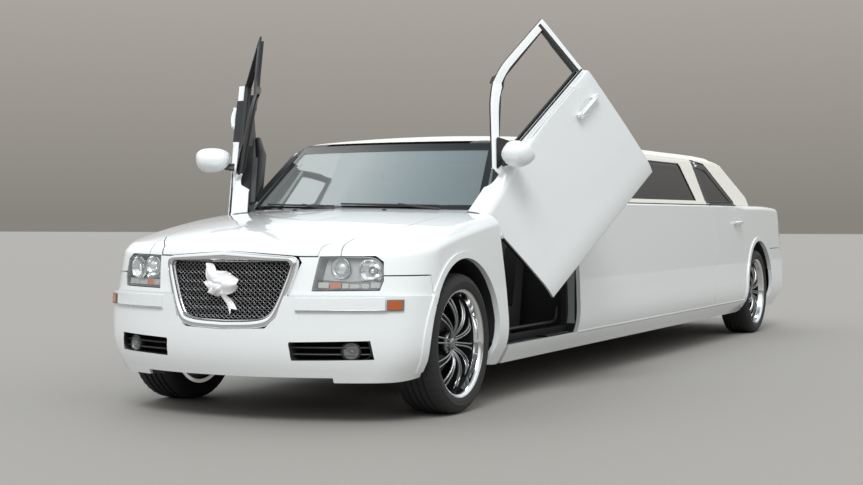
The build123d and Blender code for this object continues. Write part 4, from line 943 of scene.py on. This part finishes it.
def grille_outline(half):
    """A closed grille outline from its right half."""
    half = [(y, z, max(r, 0.001)) for y, z, r in half]
    return soft_outline(mirrored_outline(half), 8)


def on_grille(ring, deep):
    """Points of (y, z) on the grille's surface."""
    return np.column_stack([grille_x(ring[:, 0], ring[:, 1], deep), ring])


def grille_wire(inner, start, way):
    """One slanting wire of the mesh, in the pieces that lie inside the outline."""
    s = np.arange(0, 0.32 / WIRE_RISE, WIRE_PITCH / 4)
    path = np.column_stack([start + s * way, WIRE_Z + s * WIRE_RISE])
    inside = inside_outline(path, inner, 0.003)
    pieces = []
    for run in np.split(np.arange(len(s)), np.where(np.diff(inside.astype(int)) != 0)[0] + 1):
        if len(run) < 3 or not inside[run[0]]:
            continue
        y, z = path[run].T
        turn = 2 * np.pi * y / WIRE_PITCH + np.pi * (z - WIRE_Z) / (WIRE_RISE * WIRE_PITCH)
        points = on_grille(path[run], WIRE_DEEP)
        points[:, 0] += way * WIRE_WEAVE * np.cos(turn)
        pieces.append(tube(points, WIRE_R, 6))
    return pieces


def dress_grille():
    """Chrome surround and woven mesh, with a sheet of painted shade behind them."""
    outer, inner = grille_outline(GRILLE_OUTER), grille_outline(GRILLE_INNER)
    rows = [on_grille(outer + (inner - outer) * share, deep) for share, deep in FRAME_SECTION]
    surround = new_object("grille_surround_fine", *grid(np.array(rows), round_v=True), CHROME, angle=50)
    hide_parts("grille_surround")
    away = inner - GRILLE_MIDDLE
    out = away / np.linalg.norm(away, axis=1)[:, None]
    rows = [on_grille(inner - out * shrink, deep) for deep, shrink in LIP_SECTION]
    new_object("grille_inner_lip", *grid(np.array(rows), round_v=True), CHROME, angle=60)
    wires = []
    for way in (-1, 1):
        for start in np.arange(-0.75, 0.75, WIRE_PITCH):
            wires += grille_wire(inner, start, way)
    mesh = new_object("grille_mesh_fine", *joined(*wires), MESH_METAL, angle=80)
    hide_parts("grille_mesh")
    # A sheet behind the mesh: painted shade of the hollow behind the grille
    new_object("grille_back_shade", *patch(inner + away * 0.03, grille_x, 0.052, 0.05), RECESS_SHADE_BLACK)


def inside_outline(points, outline, margin=0.0):
    """Which points lie inside a convex closed outline."""
    a = outline
    b = np.roll(outline, -1, axis=0)
    keep = np.linalg.norm(b - a, axis=1) > 1e-7
    a, b = a[keep], b[keep]
    way = b - a
    normal = np.column_stack([-way[:, 1], way[:, 0]]) / np.linalg.norm(way, axis=1)[:, None]
    side = ((points[:, None] - a[None]) * normal[None]).sum(axis=2)
    return (side > margin).all(axis=1) | (side < -margin).all(axis=1)


# Lamp outlines: (y, z, rounding); round lamps: (y, z, radius)
HEADLAMP = [(0.447, 0.652, 0.012), (0.468, 0.812, 0.012), (0.705, 0.816, 0.06), (0.752, 0.780, 0.05),
            (0.759, 0.700, 0.03), (0.747, 0.655, 0.02)]
HEAD_ROUNDS = ((0.552, 0.7585, 0.047), (0.688, 0.744, 0.058))
TAILLAMP = [(0.700, 0.790, 0.02), (0.700, 1.030, 0.02), (0.905, 1.050, 0.03), (0.930, 0.800, 0.03)]
TAIL_ROUNDS = ((0.800, 0.970, 0.042), (0.802, 0.860, 0.042))
FOG = [(0.360, 0.316, 0.018), (0.352, 0.404, 0.014), (0.720, 0.412, 0.014), (0.735, 0.322, 0.06)]
FOG_LAMP = (0.633, 0.361, 0.040)
FOG_TURN = 0.35
# Reflectors below the headlamp's bowls: (y0, y1, z0, z1)
HEAD_SLOTS = ((0.462, 0.510, 0.664, 0.690), (0.575, 0.600, 0.662, 0.686), (0.606, 0.650, 0.662, 0.682),
              (0.658, 0.690, 0.662, 0.684), (0.697, 0.738, 0.664, 0.690))
HEAD_AMBER = (0.520, 0.566, 0.662, 0.690)
LENS_LIFT = 0.0008


def ahead_of(piece, place, turn=0.0):
    """A piece made about the origin, looking along +X, turned about Z and put in place."""
    c, s = np.cos(turn), np.sin(turn)
    spun = np.array(((c, -s, 0), (s, c, 0), (0, 0, 1)))
    return piece[0] @ spun.T + np.asarray(place), piece[1]


def turned(profile, segments=40):
    """A profile of (radius, along) turned about X."""
    return lathe(profile, (0, 0, 0), segments, spin="x")


def lamp_bowl(radius, deep):
    """A reflector bowl with a bright rim."""
    r = np.linspace(0.010, radius, 9)
    profile = [(0.010, -deep)] + [(a, -deep * (1 - (a / radius)**2)) for a in r[1:]]
    return turned(profile + [(radius + 0.001, 0.003), (radius + 0.004, 0.002), (radius + 0.005, -0.006)])


def ball(radius, squeeze=1.0):
    """A ball, squeezed along X."""
    a = np.linspace(-np.pi / 2, np.pi / 2, 12)
    return turned([(max(radius * np.cos(t), 1e-5), radius * squeeze * np.sin(t)) for t in a], 24)


def lamp_slot(y0, y1, z0, z1, deep):
    """A small reflector with rounded corners."""
    corners = [(y, z, 0.004) for y, z in ((y0, z0), (y0, z1), (y1, z1), (y1, z0))]
    return patch(soft_outline(corners, 3), end_x, deep, 0.02)


def dress_headlamps():
    """Clear lens over a bright bowl with two round lamps and a strip of reflectors."""
    outline = soft_outline(HEADLAMP)
    lens = joined(patch(outline, end_x, LENS_LIFT, 0.022),
                  wall(outline, end_x, ((LENS_LIFT, 0.0), (0.004, -0.0012), (0.012, -0.0012))))
    rim = wall(outline, end_x, ((0.010, -0.0015), (0.003, 0.0005), (0.0025, 0.003), (0.012, 0.0045),
                                (0.050, 0.009), (0.062, 0.012)))
    back = patch(outline, end_x, 0.060, 0.03)
    bowls, balls = [], []
    for (y, z, radius), size, turn in zip(HEAD_ROUNDS, (0.030, 0.012), (0.10, 0.32)):
        x = float(end_x(y, z, 0.030)) - 0.004
        bowls.append(ahead_of(lamp_bowl(radius, 0.030), (x, y, z), turn))
        balls.append(ahead_of(ball(size, 0.75), (x - 0.016, y, z)))
        collar = turned([(size + 0.002, -0.022), (size + 0.006, -0.012), (size + 0.007, -0.022)], 32)
        bowls.append(ahead_of(collar, (x, y, z), 0.1))
    shelf = []
    y = np.linspace(0.458, 0.752, 24)
    for z, deep in ((0.700, 0.014), (0.698, 0.058)):
        dip = z - 0.006 * np.cos((y - 0.60) / 0.16 * np.pi)
        shelf.append(np.column_stack([end_x(y, dip, deep), y, dip]))
    bowls.append(grid(np.stack(shelf)))
    ends = np.array((0.662, 0.692))
    ribs = [tube(np.column_stack([end_x(y, ends, 0.020), np.full(2, y), ends]), 0.0016, 5)
            for y in np.arange(0.466, 0.742, 0.009)]
    slots = [lamp_slot(*slot, 0.022) for slot in HEAD_SLOTS]
    thing = new_object("headlamp_lens", *both(lens), CLEAR)
    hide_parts("headlamps")
    new_object("headlamp_rim", *both(rim), LAMP_GREY, angle=35)
    new_object("headlamp_back", *both(back), LAMP_SILVER)
    new_object("headlamp_bowls", *both(joined(*bowls)), LAMP_CHROME, angle=60)
    new_object("headlamp_balls", *both(joined(*balls)), LAMP_GLASS)
    new_object("headlamp_slots", *both(joined(*slots, *ribs)), LAMP_PALE)
    new_object("headlamp_amber", *both(lamp_slot(*HEAD_AMBER, 0.018)), AMBER)


# Strips on the front bumper: name, ends across, finish, steps, section of (depth, height)
STRIPS = (
    ("bumper_strips", (0.390, 0.800), CHROME, 40,
     ((-0.0085, 0.5515), (-0.0115, 0.5535), (-0.0115, 0.5590), (-0.0085, 0.5605))),
    ("bumper_markers", (0.803, 0.858), AMBER, 12,
     ((-0.006, 0.561), (-0.0115, 0.563), (-0.0115, 0.603), (-0.006, 0.605))),
    ("bumper_marker_frames", (0.797, 0.863), LAMP_GREY, 12,
     ((-0.005, 0.556), (-0.0095, 0.557), (-0.0095, 0.609), (-0.005, 0.610))),
)


def end_strip(y0, y1, section, steps=40, end=1):
    """A moulding along the nose or tail with a section of (depth, height)."""
    y = np.linspace(y0, y1, steps)
    rows = [np.column_stack([end_x(y, z, deep, end), y, np.full(steps, z)]) for deep, z in section]
    return grid(np.stack(rows, 1), round_v=True, caps=True)


def dress_bumper():
    """Rub bars with their bright strips and amber markers, fog lamps, slats, pads and washer jets."""
    for name, ends, made, steps, section in STRIPS:
        new_object(name, *both(end_strip(*ends, section, steps)), made)
    outline = soft_outline(FOG)
    rim = wall(outline, end_x, ((0.001, -0.002), (-0.001, 0.0015), (0.004, 0.005), (0.030, 0.008),
                                (0.060, 0.010)))
    back = patch(outline, end_x, 0.058, 0.04)
    slats = [end_strip(0.36, 0.735, [(0.020, z), (0.017, z + 0.004), (0.020, z + 0.008), (0.055, z + 0.010),
                                     (0.055, z)]) for z in (0.3405, 0.3735)]
    y, z, radius = FOG_LAMP
    x = float(end_x(y, z, 0.016))
    housing = ahead_of(turned([(radius + 0.010, -0.03), (radius + 0.009, -0.002), (radius + 0.003, 0.002),
                               (radius, -0.004)]), (x, y, z), FOG_TURN)
    bowl = ahead_of(lamp_bowl(radius - 0.004, 0.020), (x - 0.004, y, z), FOG_TURN)
    glass = turned([(1e-5, 0.004), (radius * 0.5, 0.002), (radius, -0.003)])
    thing = new_object("fog_surrounds", *both(joined(rim, housing, *slats)), BLACK, angle=40)
    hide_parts("fog_grilles")
    # The opening's back: painted shade of the hollow behind the fog lamp
    new_object("fog_backs", *both(back), RECESS_SHADE_BLACK)
    new_object("fog_bowls", *both(joined(bowl, ahead_of(ball(0.010), (x - 0.014, y, z)))), FOG_SILVER)
    new_object("fog_glasses", *both(ahead_of(glass, (x, y, z), FOG_TURN)), CLEAR)
    new_object("bumper_pads", *both(block(3.62, 3.80, 0.50, 0.64, 0.200, 0.226)), STEEL)
    points, faces = lathe([(1e-5, 0.010), (0.010, 0.008), (0.013, 0.0), (0.013, -0.004)], (0, 0, 0), 16)
    x, y = 2.86, 0.285
    z = float(crown_height(np.array([x]), np.array([y]))[0])
    jets = both((points[:, [0, 2, 1]] + (x, y, z), faces[:, ::-1]))
    new_object("washer_jets", *jets, BLACK, NODE_BODY["bonnet"])


# Bow: loops of ribbon (direction, length, half width, lift, ruffle, phase), and its place on the grille
LOOPS = ((2.15, 0.128, 0.036, 0.030, 0.011, 0.3), (1.70, 0.074, 0.036, 0.036, 0.009, 1.4),
         (0.70, 0.088, 0.046, 0.034, 0.011, 2.2), (0.15, 0.112, 0.052, 0.036, 0.012, 0.9),
         (-0.55, 0.070, 0.034, 0.032, 0.009, 3.1), (-2.70, 0.072, 0.034, 0.036, 0.011, 4.0),
         (2.95, 0.082, 0.034, 0.030, 0.012, 5.1), (-1.85, 0.058, 0.032, 0.038, 0.009, 2.7),
         (1.25, 0.050, 0.028, 0.048, 0.006, 1.0), (-0.9, 0.050, 0.028, 0.050, 0.006, 5.5))
BOW_PLACE = (-0.048, 0.672)
TAIL_L = 0.152


def loop(angle, length, width, lift, ruffle, phase):
    """One cupped loop of satin ribbon."""
    u, v = np.meshgrid(np.linspace(0, 1, 26), np.linspace(-1, 1, 17), indexing="ij")
    w = width * (0.22 + 0.78 * np.sin(np.pi * np.clip(u * 0.92, 0, 1))**0.7)
    along = length * (u - 0.10 * v**2 * u)
    out = (lift * np.sin(np.pi * u**0.8) + ruffle * np.sin(v * 4.2 + phase + u * 2.0) * u + 0.007 * u
           - 0.35 * lift * v**2)
    y = along * np.cos(angle) - v * w * np.sin(angle)
    z = along * np.sin(angle) + v * w * np.cos(angle)
    return grid(np.stack([out, y, z], -1))


def dress_bow():
    """A satin bow of ruffled loops with a tail, on the grille."""
    y0, z0 = BOW_PLACE
    x0 = float(grille_x(y0, z0, 0.022))
    knot = ahead_of(ball(0.022, 0.9), (0.034, 0.004, -0.004))
    u, v = np.meshgrid(np.linspace(0, 1, 24), np.linspace(-1, 1, 9), indexing="ij")
    along = TAIL_L * u * (0.86 + 0.14 * np.abs(v))
    wide = v * 0.020 * (0.6 + 0.5 * u)
    out = 0.014 + 0.010 * np.sin(u * 7) + 0.005 * v * np.sin(u * 5)
    tail = grid(np.stack([out, along * 0.62 + wide * 0.8, wide * 0.55 - along * 0.86], -1))
    points, faces = joined(*[loop(*row) for row in LOOPS], knot, tail)
    thing = new_object("ribbon_bow_fine", points + (x0, y0, z0), faces, SATIN, angle=80)
    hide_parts("ribbon_bow")


def dress_tail():
    """Red lenses with round lamps, a bright strip and the pipes' tips at the rear."""
    outline = soft_outline(TAILLAMP)
    lens = joined(patch(outline, tail_x, LENS_LIFT, 0.03),
                  wall(outline, tail_x, ((LENS_LIFT, 0), (0.006, -0.001), (0.03, -0.001))))
    rounds = []
    for y, z, radius in TAIL_ROUNDS:
        bowl, faces = lamp_bowl(radius, 0.02)
        rounds.append((bowl * (-1, 1, 1) + (float(tail_x(y, z, 0.016)), y, z), faces[:, ::-1]))
    thing = new_object("tail_lenses", *both(lens), RED_LENS)
    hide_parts("tail_lamps")
    new_object("tail_backs", *both(patch(outline, tail_x, 0.035, 0.03)), RED_DEEP)
    new_object("tail_rounds", *both(joined(*rounds)), LAMP_CHROME)
    section = [(-0.003, 0.742), (-0.007, 0.744), (-0.007, 0.756), (-0.003, 0.758)]
    new_object("boot_strip", *end_strip(-0.60, 0.60, section, 50, -1), CHROME)
    profile = [(0.0355, 0.13), (0.0362, -0.128), (0.0368, -0.131), (0.0355, -0.1325), (0.0335, -0.130),
               (0.0330, 0.0), (0.0001, 0.0)]
    pipes = [lathe(profile, (-3.893, y, 0.290), 36, spin="x") for y in (-0.430, 0.430)]
    new_object("exhaust_tips", *joined(*pipes), CHROME)


# Doors: front edge and length when shut
DOOR_X = 2.605
DOOR_L = 1.045
DOOR_END = DOOR_X - DOOR_L
REAR_DOOR_X = -1.494
REAR_DOOR_L = 0.890
REAR_DOOR_END = REAR_DOOR_X - REAR_DOOR_L
HANDLE_Z = 0.958


def cabin_half(z, deep=0.0):
    """Half width of the long straight part of the cabin."""
    return curve(CABIN_FINE, 3, z) - deep


def body_half(z, deep=0.0):
    """Half width of the long straight part of the body."""
    low, high = HALF_WIDTH - curve(LOW, 3, z), HALF_WIDTH - curve(HIGH, 3, z)
    return np.where(np.asarray(z) > LEDGE, high, low) - deep


def on_cabin(path, deep=0.0):
    """Points of (x, z) on the cabin's left side."""
    path = np.asarray(path, float)
    return np.column_stack([path[:, 0], cabin_half(path[:, 1], deep), path[:, 1]])


def side_strip(x0, x1, section, half, steps=40):
    """A moulding along the side with a section of (depth, height)."""
    x = np.linspace(x0, x1, steps)
    rows = [np.column_stack([x, np.full(steps, float(half(z)) - deep), np.full(steps, z)])
            for deep, z in section]
    return grid(np.stack(rows, 1), round_v=True, caps=True)


def sash_cover(edges, top):
    """A cover from the belt up to a height, between edges given by x at their foot and top."""
    t = np.linspace(0, 1, 24)
    rows = [np.column_stack([a + (b - a) * t, 1.113 + (top - 1.113) * t]) for a, b in edges]
    return grid(np.stack([on_cabin(row, -0.0022) for row in rows]))


def lifted(piece):
    """A piece of the shut left door, moved with it to the raised place."""
    return raised(cornered(piece[0])), piece[1]


def dress_front_doors():
    """Seals, belt strip, sash cover, mirror corner, hem and handle of the raised doors."""
    window = soft_outline([(DOOR_X - 0.232, 1.120, 0.02), (DOOR_X - 0.592, 1.396, 0.06),
                           (DOOR_END + 0.006, 1.401, 0.02), (DOOR_END + 0.034, 1.120, 0.01)], 8)
    seal = tube(on_cabin(window, 0.012), 0.0070, 8, closed=True)
    section = [(-0.0025, 1.101), (-0.0035, 1.103), (-0.003, 1.109), (0.006, 1.111), (0.010, 1.101)]
    belt = side_strip(DOOR_X - 0.20, DOOR_END + 0.004, section, lambda z: cabin_half(1.105))
    sash = sash_cover(((DOOR_END + 0.041, DOOR_END + 0.012), (DOOR_END + 0.022, DOOR_END - 0.008)), 1.437)
    sail = soft_outline([(DOOR_X - 0.188, 1.108, 0.01), (DOOR_X - 0.330, 1.220, 0.02),
                         (DOOR_X - 0.395, 1.112, 0.01)], 5)
    n = len(sail)
    sail_faces = np.stack([np.full(n, n), np.arange(n), np.roll(np.arange(n), -1)], -1)
    sails = [(on_cabin(np.vstack([sail, sail.mean(axis=0)]), deep), sail_faces) for deep in (-0.004, 0.030)]
    black = both(lifted(joined(seal, belt, sash, *sails)))
    new_object("front_door_seals", *black, RUBBER_TRIM, angle=50)
    section = [(-0.001, 0.3165), (0.006, 0.3125), (0.030, 0.3125), (0.030, 0.3165)]
    hem = side_strip(DOOR_X + 0.020, DOOR_END + 0.010, section, lambda z: body_half(0.316))
    new_object("front_door_hem", *both(lifted(hem)), RUBBER_TRIM)
    new_object("front_door_handles", *both(lifted(door_handle(DOOR_END + 0.060))), PAINT, angle=60)
    new_object("front_door_cups", *both(lifted(handle_cup(DOOR_END + 0.060))), SHADOW_GREY)


def door_handle(x0):
    """A pull handle with tapered ends, along x from its rear end."""
    t = np.linspace(0, 1, 26)
    z = HANDLE_Z + 0.004 * np.sin(np.pi * t)
    y = body_half(z) + (0.012 + 0.020 * np.sin(np.pi * t)**0.45)
    path = np.column_stack([x0 + 0.190 * t, y, z])
    return tube(path, 0.0125 + 0.0015 * np.sin(np.pi * t), 12, squeeze=0.62)


def handle_cup(x0):
    """The shallow dish behind a handle, grey as painted shadow of the handle."""
    t = np.linspace(0, 2 * np.pi, 28, endpoint=False)
    rows = []
    for size, deep in ((1.0, -0.0012), (0.9, 0.0005), (0.5, 0.0002), (0.02, 0.0001)):
        z = HANDLE_Z - 0.002 + 0.030 * size * np.sin(t)
        rows.append(np.column_stack([x0 + 0.098 + 0.062 * size * np.cos(t), body_half(z, deep), z]))
    return grid(np.stack(rows), round_v=True)


def dress_rear_doors():
    """Seals, belt strip, sash cover and handle of the rear doors."""
    window = soft_outline([(REAR_DOOR_X - 0.100, 1.120, 0.01), (REAR_DOOR_X - 0.048, 1.398, 0.02),
                           (REAR_DOOR_X - 0.298, 1.374, 0.10), (REAR_DOOR_END + 0.150, 1.124, 0.02)], 8)
    seal = tube(on_cabin(window, 0.006), 0.0062, 8, closed=True)
    section = [(-0.002, 1.092), (-0.005, 1.095), (-0.004, 1.104), (0.010, 1.108), (0.018, 1.092)]
    half = cabin_half(1.10) + 0.006
    belt = side_strip(REAR_DOOR_X - 0.004, REAR_DOOR_END + 0.060, section, lambda z: half)
    sash = sash_cover(((REAR_DOOR_X - 0.001, REAR_DOOR_X + 0.0135),
                       (REAR_DOOR_X - 0.092, REAR_DOOR_X - 0.036)), 1.440)
    black = joined(seal, belt, sash)
    handle = door_handle(REAR_DOOR_END + 0.080)
    cup = handle_cup(REAR_DOOR_END + 0.080)
    for side, turn in (("left", lambda piece: piece), ("right", flipped)):
        body = NODE_BODY["rear_door_" + side]
        new_object("rear_door_seals_" + side, *turn(black), RUBBER_TRIM, body, 50)
        new_object("rear_door_handle_" + side, *turn(handle), PAINT, body, 60)
        new_object("rear_door_cup_" + side, *turn(cup), SHADOW_GREY, body)


def spaced(outline, longest):
    """A closed outline with more points on its long sides."""
    points = []
    for a, b in zip(outline, np.roll(outline, -1, axis=0)):
        steps = max(2, int(np.linalg.norm(b - a) / longest))
        points += [a + (b - a) * t for t in np.linspace(0, 1, steps, endpoint=False)]
    return np.array(points)


def dress_sides():
    """Belt strips, sill creases, window seals, repeaters, step plates, jambs grey as painted shade and the
    boot's carpet.
    """
    front, rear = DOOR_END - 0.004, REAR_DOOR_X + 0.006
    half = cabin_half(1.10) + 0.006
    section = [(-0.0005, 1.0895), (-0.004, 1.092), (-0.004, 1.1005), (0.010, 1.1015), (0.010, 1.0895)]
    black = side_strip(front - 0.006, rear, section, lambda z: half)
    section = [(0.004, 1.1020), (-0.0035, 1.1030), (-0.0040, 1.1150), (-0.0035, 1.1290), (0.004, 1.1300)]
    cream = side_strip(front - 0.014, rear, section, cabin_half)
    section = [(0.003, 0.2955), (-0.0035, 0.3010), (-0.0050, 0.3060), (-0.0035, 0.3110), (0.003, 0.3165)]
    crease = side_strip(DOOR_END - 0.02, REAR_AXLE + 0.46, section, body_half, 60)
    new_object("sill_creases", *both(crease), PAINT, angle=60)
    window = soft_outline([(front - 0.120, 1.112, 0.015), (front - 0.086, 1.411, 0.03),
                           (REAR_DOOR_X + 0.383, 1.411, 0.03), (REAR_DOOR_X + 0.253, 1.112, 0.015)], 8)
    seal = tube(on_cabin(spaced(window, 0.08), 0.003), 0.005, 6, closed=True)
    new_object("belt_black", *both(joined(black, seal)), RUBBER_TRIM, angle=50)
    new_object("belt_vinyl", *both(cream), VINYL)
    x, y, z = 2.703, 0.93, 0.905
    y += float(plan_depth(np.array([x]), np.array([y]), *body_outline(HIGH, np.array([z]), curve))[0][0])
    repeater = lathe([(1e-5, 0.007), (0.010, 0.006), (0.017, 0.003), (0.019, -0.002)], (x, y, z), 24)
    new_object("side_repeaters", *both(repeater), CLEAR_DIM)
    doorway = soft_outline([(1.590, 0.372, 0.09), (2.555, 0.372, 0.10), (2.572, 1.04, 0.02),
                            (1.592, 1.04, 0.02)], 8)[:-8]
    seal = tube(np.column_stack([doorway[:, 0], np.full(len(doorway), 0.800), doorway[:, 1]]), 0.011, 8)
    step = block(1.66, 2.02, 0.835, 0.905, 0.3135, 0.3185)
    new_object("step_plates", *both(joined(step, seal)), RUBBER_TRIM)
    boards = both(block(-3.86, -2.45, 0.600, 0.606, 0.468, 0.990))
    new_object("boot_carpet", *joined(block(-3.86, -2.45, -0.60, 0.60, 0.468, 0.477), boards), CARPET)
    # Plates on the jambs, grey as painted shade of the white paint
    new_object("jamb_shade_plates", *both(block(1.5605, 1.5650, 0.835, 0.905, 0.36, 1.02)), JAMB_SHADE)


def swollen(wave):
    """A sine or cosine wave made squarer."""
    return np.sign(wave) * np.abs(wave)**0.86


def dress_mirrors():
    """Oval mirror shells with their glass, on dark stalks, on the raised doors."""
    x, y, z = DOOR_X - 0.245, HALF_WIDTH + 0.066, BELT + 0.052
    v = np.linspace(0, 2 * np.pi, 40, endpoint=False)
    u, v = np.meshgrid(np.linspace(0, 1, 16), v, indexing="ij")
    bulge = np.sin(u * np.pi / 2)**0.75
    shell = np.stack([x - 0.044 + 0.092 * np.cos(u * np.pi / 2)**0.85,
                      y + (0.104 - 0.006 * np.cos(v)) * bulge * swollen(np.cos(v)),
                      z + 0.004 + (0.072 + 0.004 * np.cos(v)) * bulge * swollen(np.sin(v))], -1)
    away = shell[-1, :, 1:] - (y, z)
    lip, glass = ([np.column_stack([np.full(40, x - back), away * size + (y, z)]) for back, size in rows]
                  for rows in (((0.044, 1.0), (0.050, 0.975), (0.048, 0.93), (0.040, 0.90)),
                               ((0.042, 0.91), (0.042, 0.4), (0.042, 0.001))))
    path = [(-0.004, -0.062, 0.008), (-0.004, -0.030, 0.012), (-0.002, -0.005, 0.018), (0, 0.020, 0.026)]
    stalk = tube(np.array(path) + (x, HALF_WIDTH, BELT), [0.030, 0.026, 0.022, 0.020], 12, squeeze=0.55)
    body = joined(grid(shell, round_v=True), grid(lip, round_v=True))
    thing = new_object("mirror_shells", *both(lifted(body)), PAINT, angle=50)
    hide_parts("door_mirrors")
    new_object("mirror_glasses", *both(lifted(grid(glass, round_v=True))), MIRROR)
    new_object("mirror_stalks", *both(lifted(stalk)), BLACK)


def dress_trims():
    """Inner panels of the raised doors: pull handle, speaker ring and armrest."""
    inner = body_half(0.80) - 0.092
    rest = tube([(DOOR_X - 0.30, inner - 0.030, 0.760), (DOOR_X - 0.45, inner - 0.050, 0.765),
                 (DOOR_X - 0.75, inner - 0.050, 0.760), (DOOR_X - 0.92, inner - 0.020, 0.750)],
                [0.02, 0.034, 0.034, 0.02], 12)
    pull = tube([(DOOR_X - 0.22, inner + 0.004, 0.875), (DOOR_X - 0.24, inner - 0.030, 0.895),
                 (DOOR_X - 0.32, inner - 0.034, 0.905), (DOOR_X - 0.36, inner - 0.004, 0.895)], 0.009, 8)
    a = np.linspace(0, 2 * np.pi, 24, endpoint=False)
    ring = tube(np.column_stack([DOOR_X - 0.25 + 0.085 * np.cos(a), np.full(24, body_half(0.45) - 0.094),
                                 0.45 + 0.085 * np.sin(a)]), 0.006, 6, closed=True)
    new_object("door_armrests", *both(lifted(joined(rest, ring))), BLACK, angle=60)
    new_object("door_pulls", *both(lifted(pull)), BRIGHT, angle=60)


def screen_x(y, z, deep=0.0):
    """The windscreen's surface."""
    (front, _back), _half, (radius, *_rest) = cabin_outline(CABIN_FINE, np.asarray(z, float), curve)
    return front - radius + np.sqrt((radius - deep)**2 - np.asarray(y, float)**2)


def on_screen(y, z, deep):
    """Points of (y, z) on the windscreen's surface."""
    y, z = np.broadcast_arrays(y, z)
    return np.stack([screen_x(y, z, deep), y, z], -1)


def dress_windscreen():
    """The whole pane, from the roof down to the cowl."""
    y, z = np.meshgrid(np.linspace(-1, 1, 49), np.linspace(1.052, 1.434, 17), indexing="ij")
    y = y * np.interp(z, [1.050, 1.436], [0.770, 0.640])
    n, m = y.shape
    outer, inner = (grid(on_screen(y, z, deep)) for deep in (0.0055, 0.0105))
    index = np.arange(n * m).reshape(n, m)
    rim = np.concatenate([index[:, 0], index[-1, 1:], index[-2::-1, -1], index[0, -2:0:-1]])
    a, b = rim, np.roll(rim, -1)
    edge = np.concatenate([np.stack([a, b, b + n * m], -1), np.stack([a, b + n * m, a + n * m], -1)])
    points, faces = joined(outer, (inner[0], inner[1][:, ::-1]))
    thing = new_object("windscreen_fine", points, np.vstack([faces, edge]), SCREEN)
    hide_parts("windscreen")


def dress_screens():
    """Black bands round the windscreen, wipers and the strip along its foot."""
    y = np.linspace(-0.645, 0.645, 40)
    bands = [grid(np.stack([on_screen(y, z, 0.0035) for z in np.linspace(1.392, 1.434, 4)]))]
    y, z = np.linspace((0.742, 1.075), (0.642, 1.430), 20).T
    for side in (-1, 1):
        bands.append(grid(np.stack([on_screen(side * (y - inset), z, 0.0032) for inset in (0.0, 0.035)])))
    y = np.linspace(-0.735, 0.735, 40)
    bands.append(grid(np.stack([on_screen(y, z, 0.0032) for z in (1.050, 1.072)])))
    new_object("screen_bands", *joined(*bands), GLOSS_BLACK)
    wipers = []
    for y0, y1 in ((0.52, -0.06), (-0.10, -0.62)):
        blade = on_screen(np.linspace(y0, y1, 16), np.linspace(1.070, 1.082, 16), -0.012)
        arm = on_screen(np.linspace(y0 + 0.02, y0 - 0.22, 8), np.linspace(1.050, 1.078, 8), -0.022)
        wipers += [tube(blade, 0.0055, 6), tube(arm, 0.0075, 6)]
    new_object("wipers", *joined(*wipers), BLACK, angle=60)


# Sky, from the horizon to straight up: (height on a sphere of radius 1, colour)
SKY = ((0.0, (0.20, 0.19, 0.17)), (0.17, (0.36, 0.34, 0.31)), (0.30, (0.80, 0.84, 0.88)),
       (0.55, (0.98, 1.0, 1.0)), (0.80, (0.98, 1.0, 1.0)), (0.93, (0.50, 0.57, 0.60)),
       (1.0, (0.26, 0.32, 0.34)))
SKY_STRENGTH = 1.22


def setup_stage():
    """A plain floor and an open sky over a darker horizon."""
    bpy.ops.mesh.primitive_plane_add(size=160, location=(0, 0, 0))
    floor = bpy.context.object
    floor.name = "floor"
    floor.data.materials.append(material("floor", (0.30, 0.285, 0.265), 0.7))
    world = bpy.data.worlds.new("world")
    bpy.context.scene.world = world
    world.use_nodes = True
    tree = world.node_tree
    place = tree.nodes.new("ShaderNodeTexCoord")
    split = tree.nodes.new("ShaderNodeSeparateXYZ")
    ramp = tree.nodes.new("ShaderNodeValToRGB")
    tree.links.new(place.outputs["Generated"], split.inputs[0])
    tree.links.new(split.outputs["Z"], ramp.inputs["Fac"])
    tree.links.new(ramp.outputs["Color"], tree.nodes["Background"].inputs["Color"])
    points = ramp.color_ramp.elements
    points[0].color, points[1].color = (*SKY[0][1], 1), (*SKY[-1][1], 1)
    for height, color in SKY[1:-1]:
        points.new(height).color = (*color, 1)
    tree.nodes["Background"].inputs["Strength"].default_value = SKY_STRENGTH
    sun = bpy.data.lights.new("sun", "SUN")
    sun.energy = 1.6
    sun.angle = radians(25)
    lamp = bpy.data.objects.new("sun", sun)
    lamp.rotation_euler = (radians(38), radians(12), radians(95))
    bpy.context.scene.collection.objects.link(lamp)


dress_nodes()
dress_body()
dress_wheels()
dress_grille()
dress_headlamps()
dress_bumper()
dress_bow()
dress_tail()
dress_front_doors()
dress_rear_doors()
dress_sides()
dress_mirrors()
dress_trims()
dress_windscreen()
dress_screens()
setup_stage()
setup_camera()
bpy.context.scene.view_settings.view_transform = "Standard"
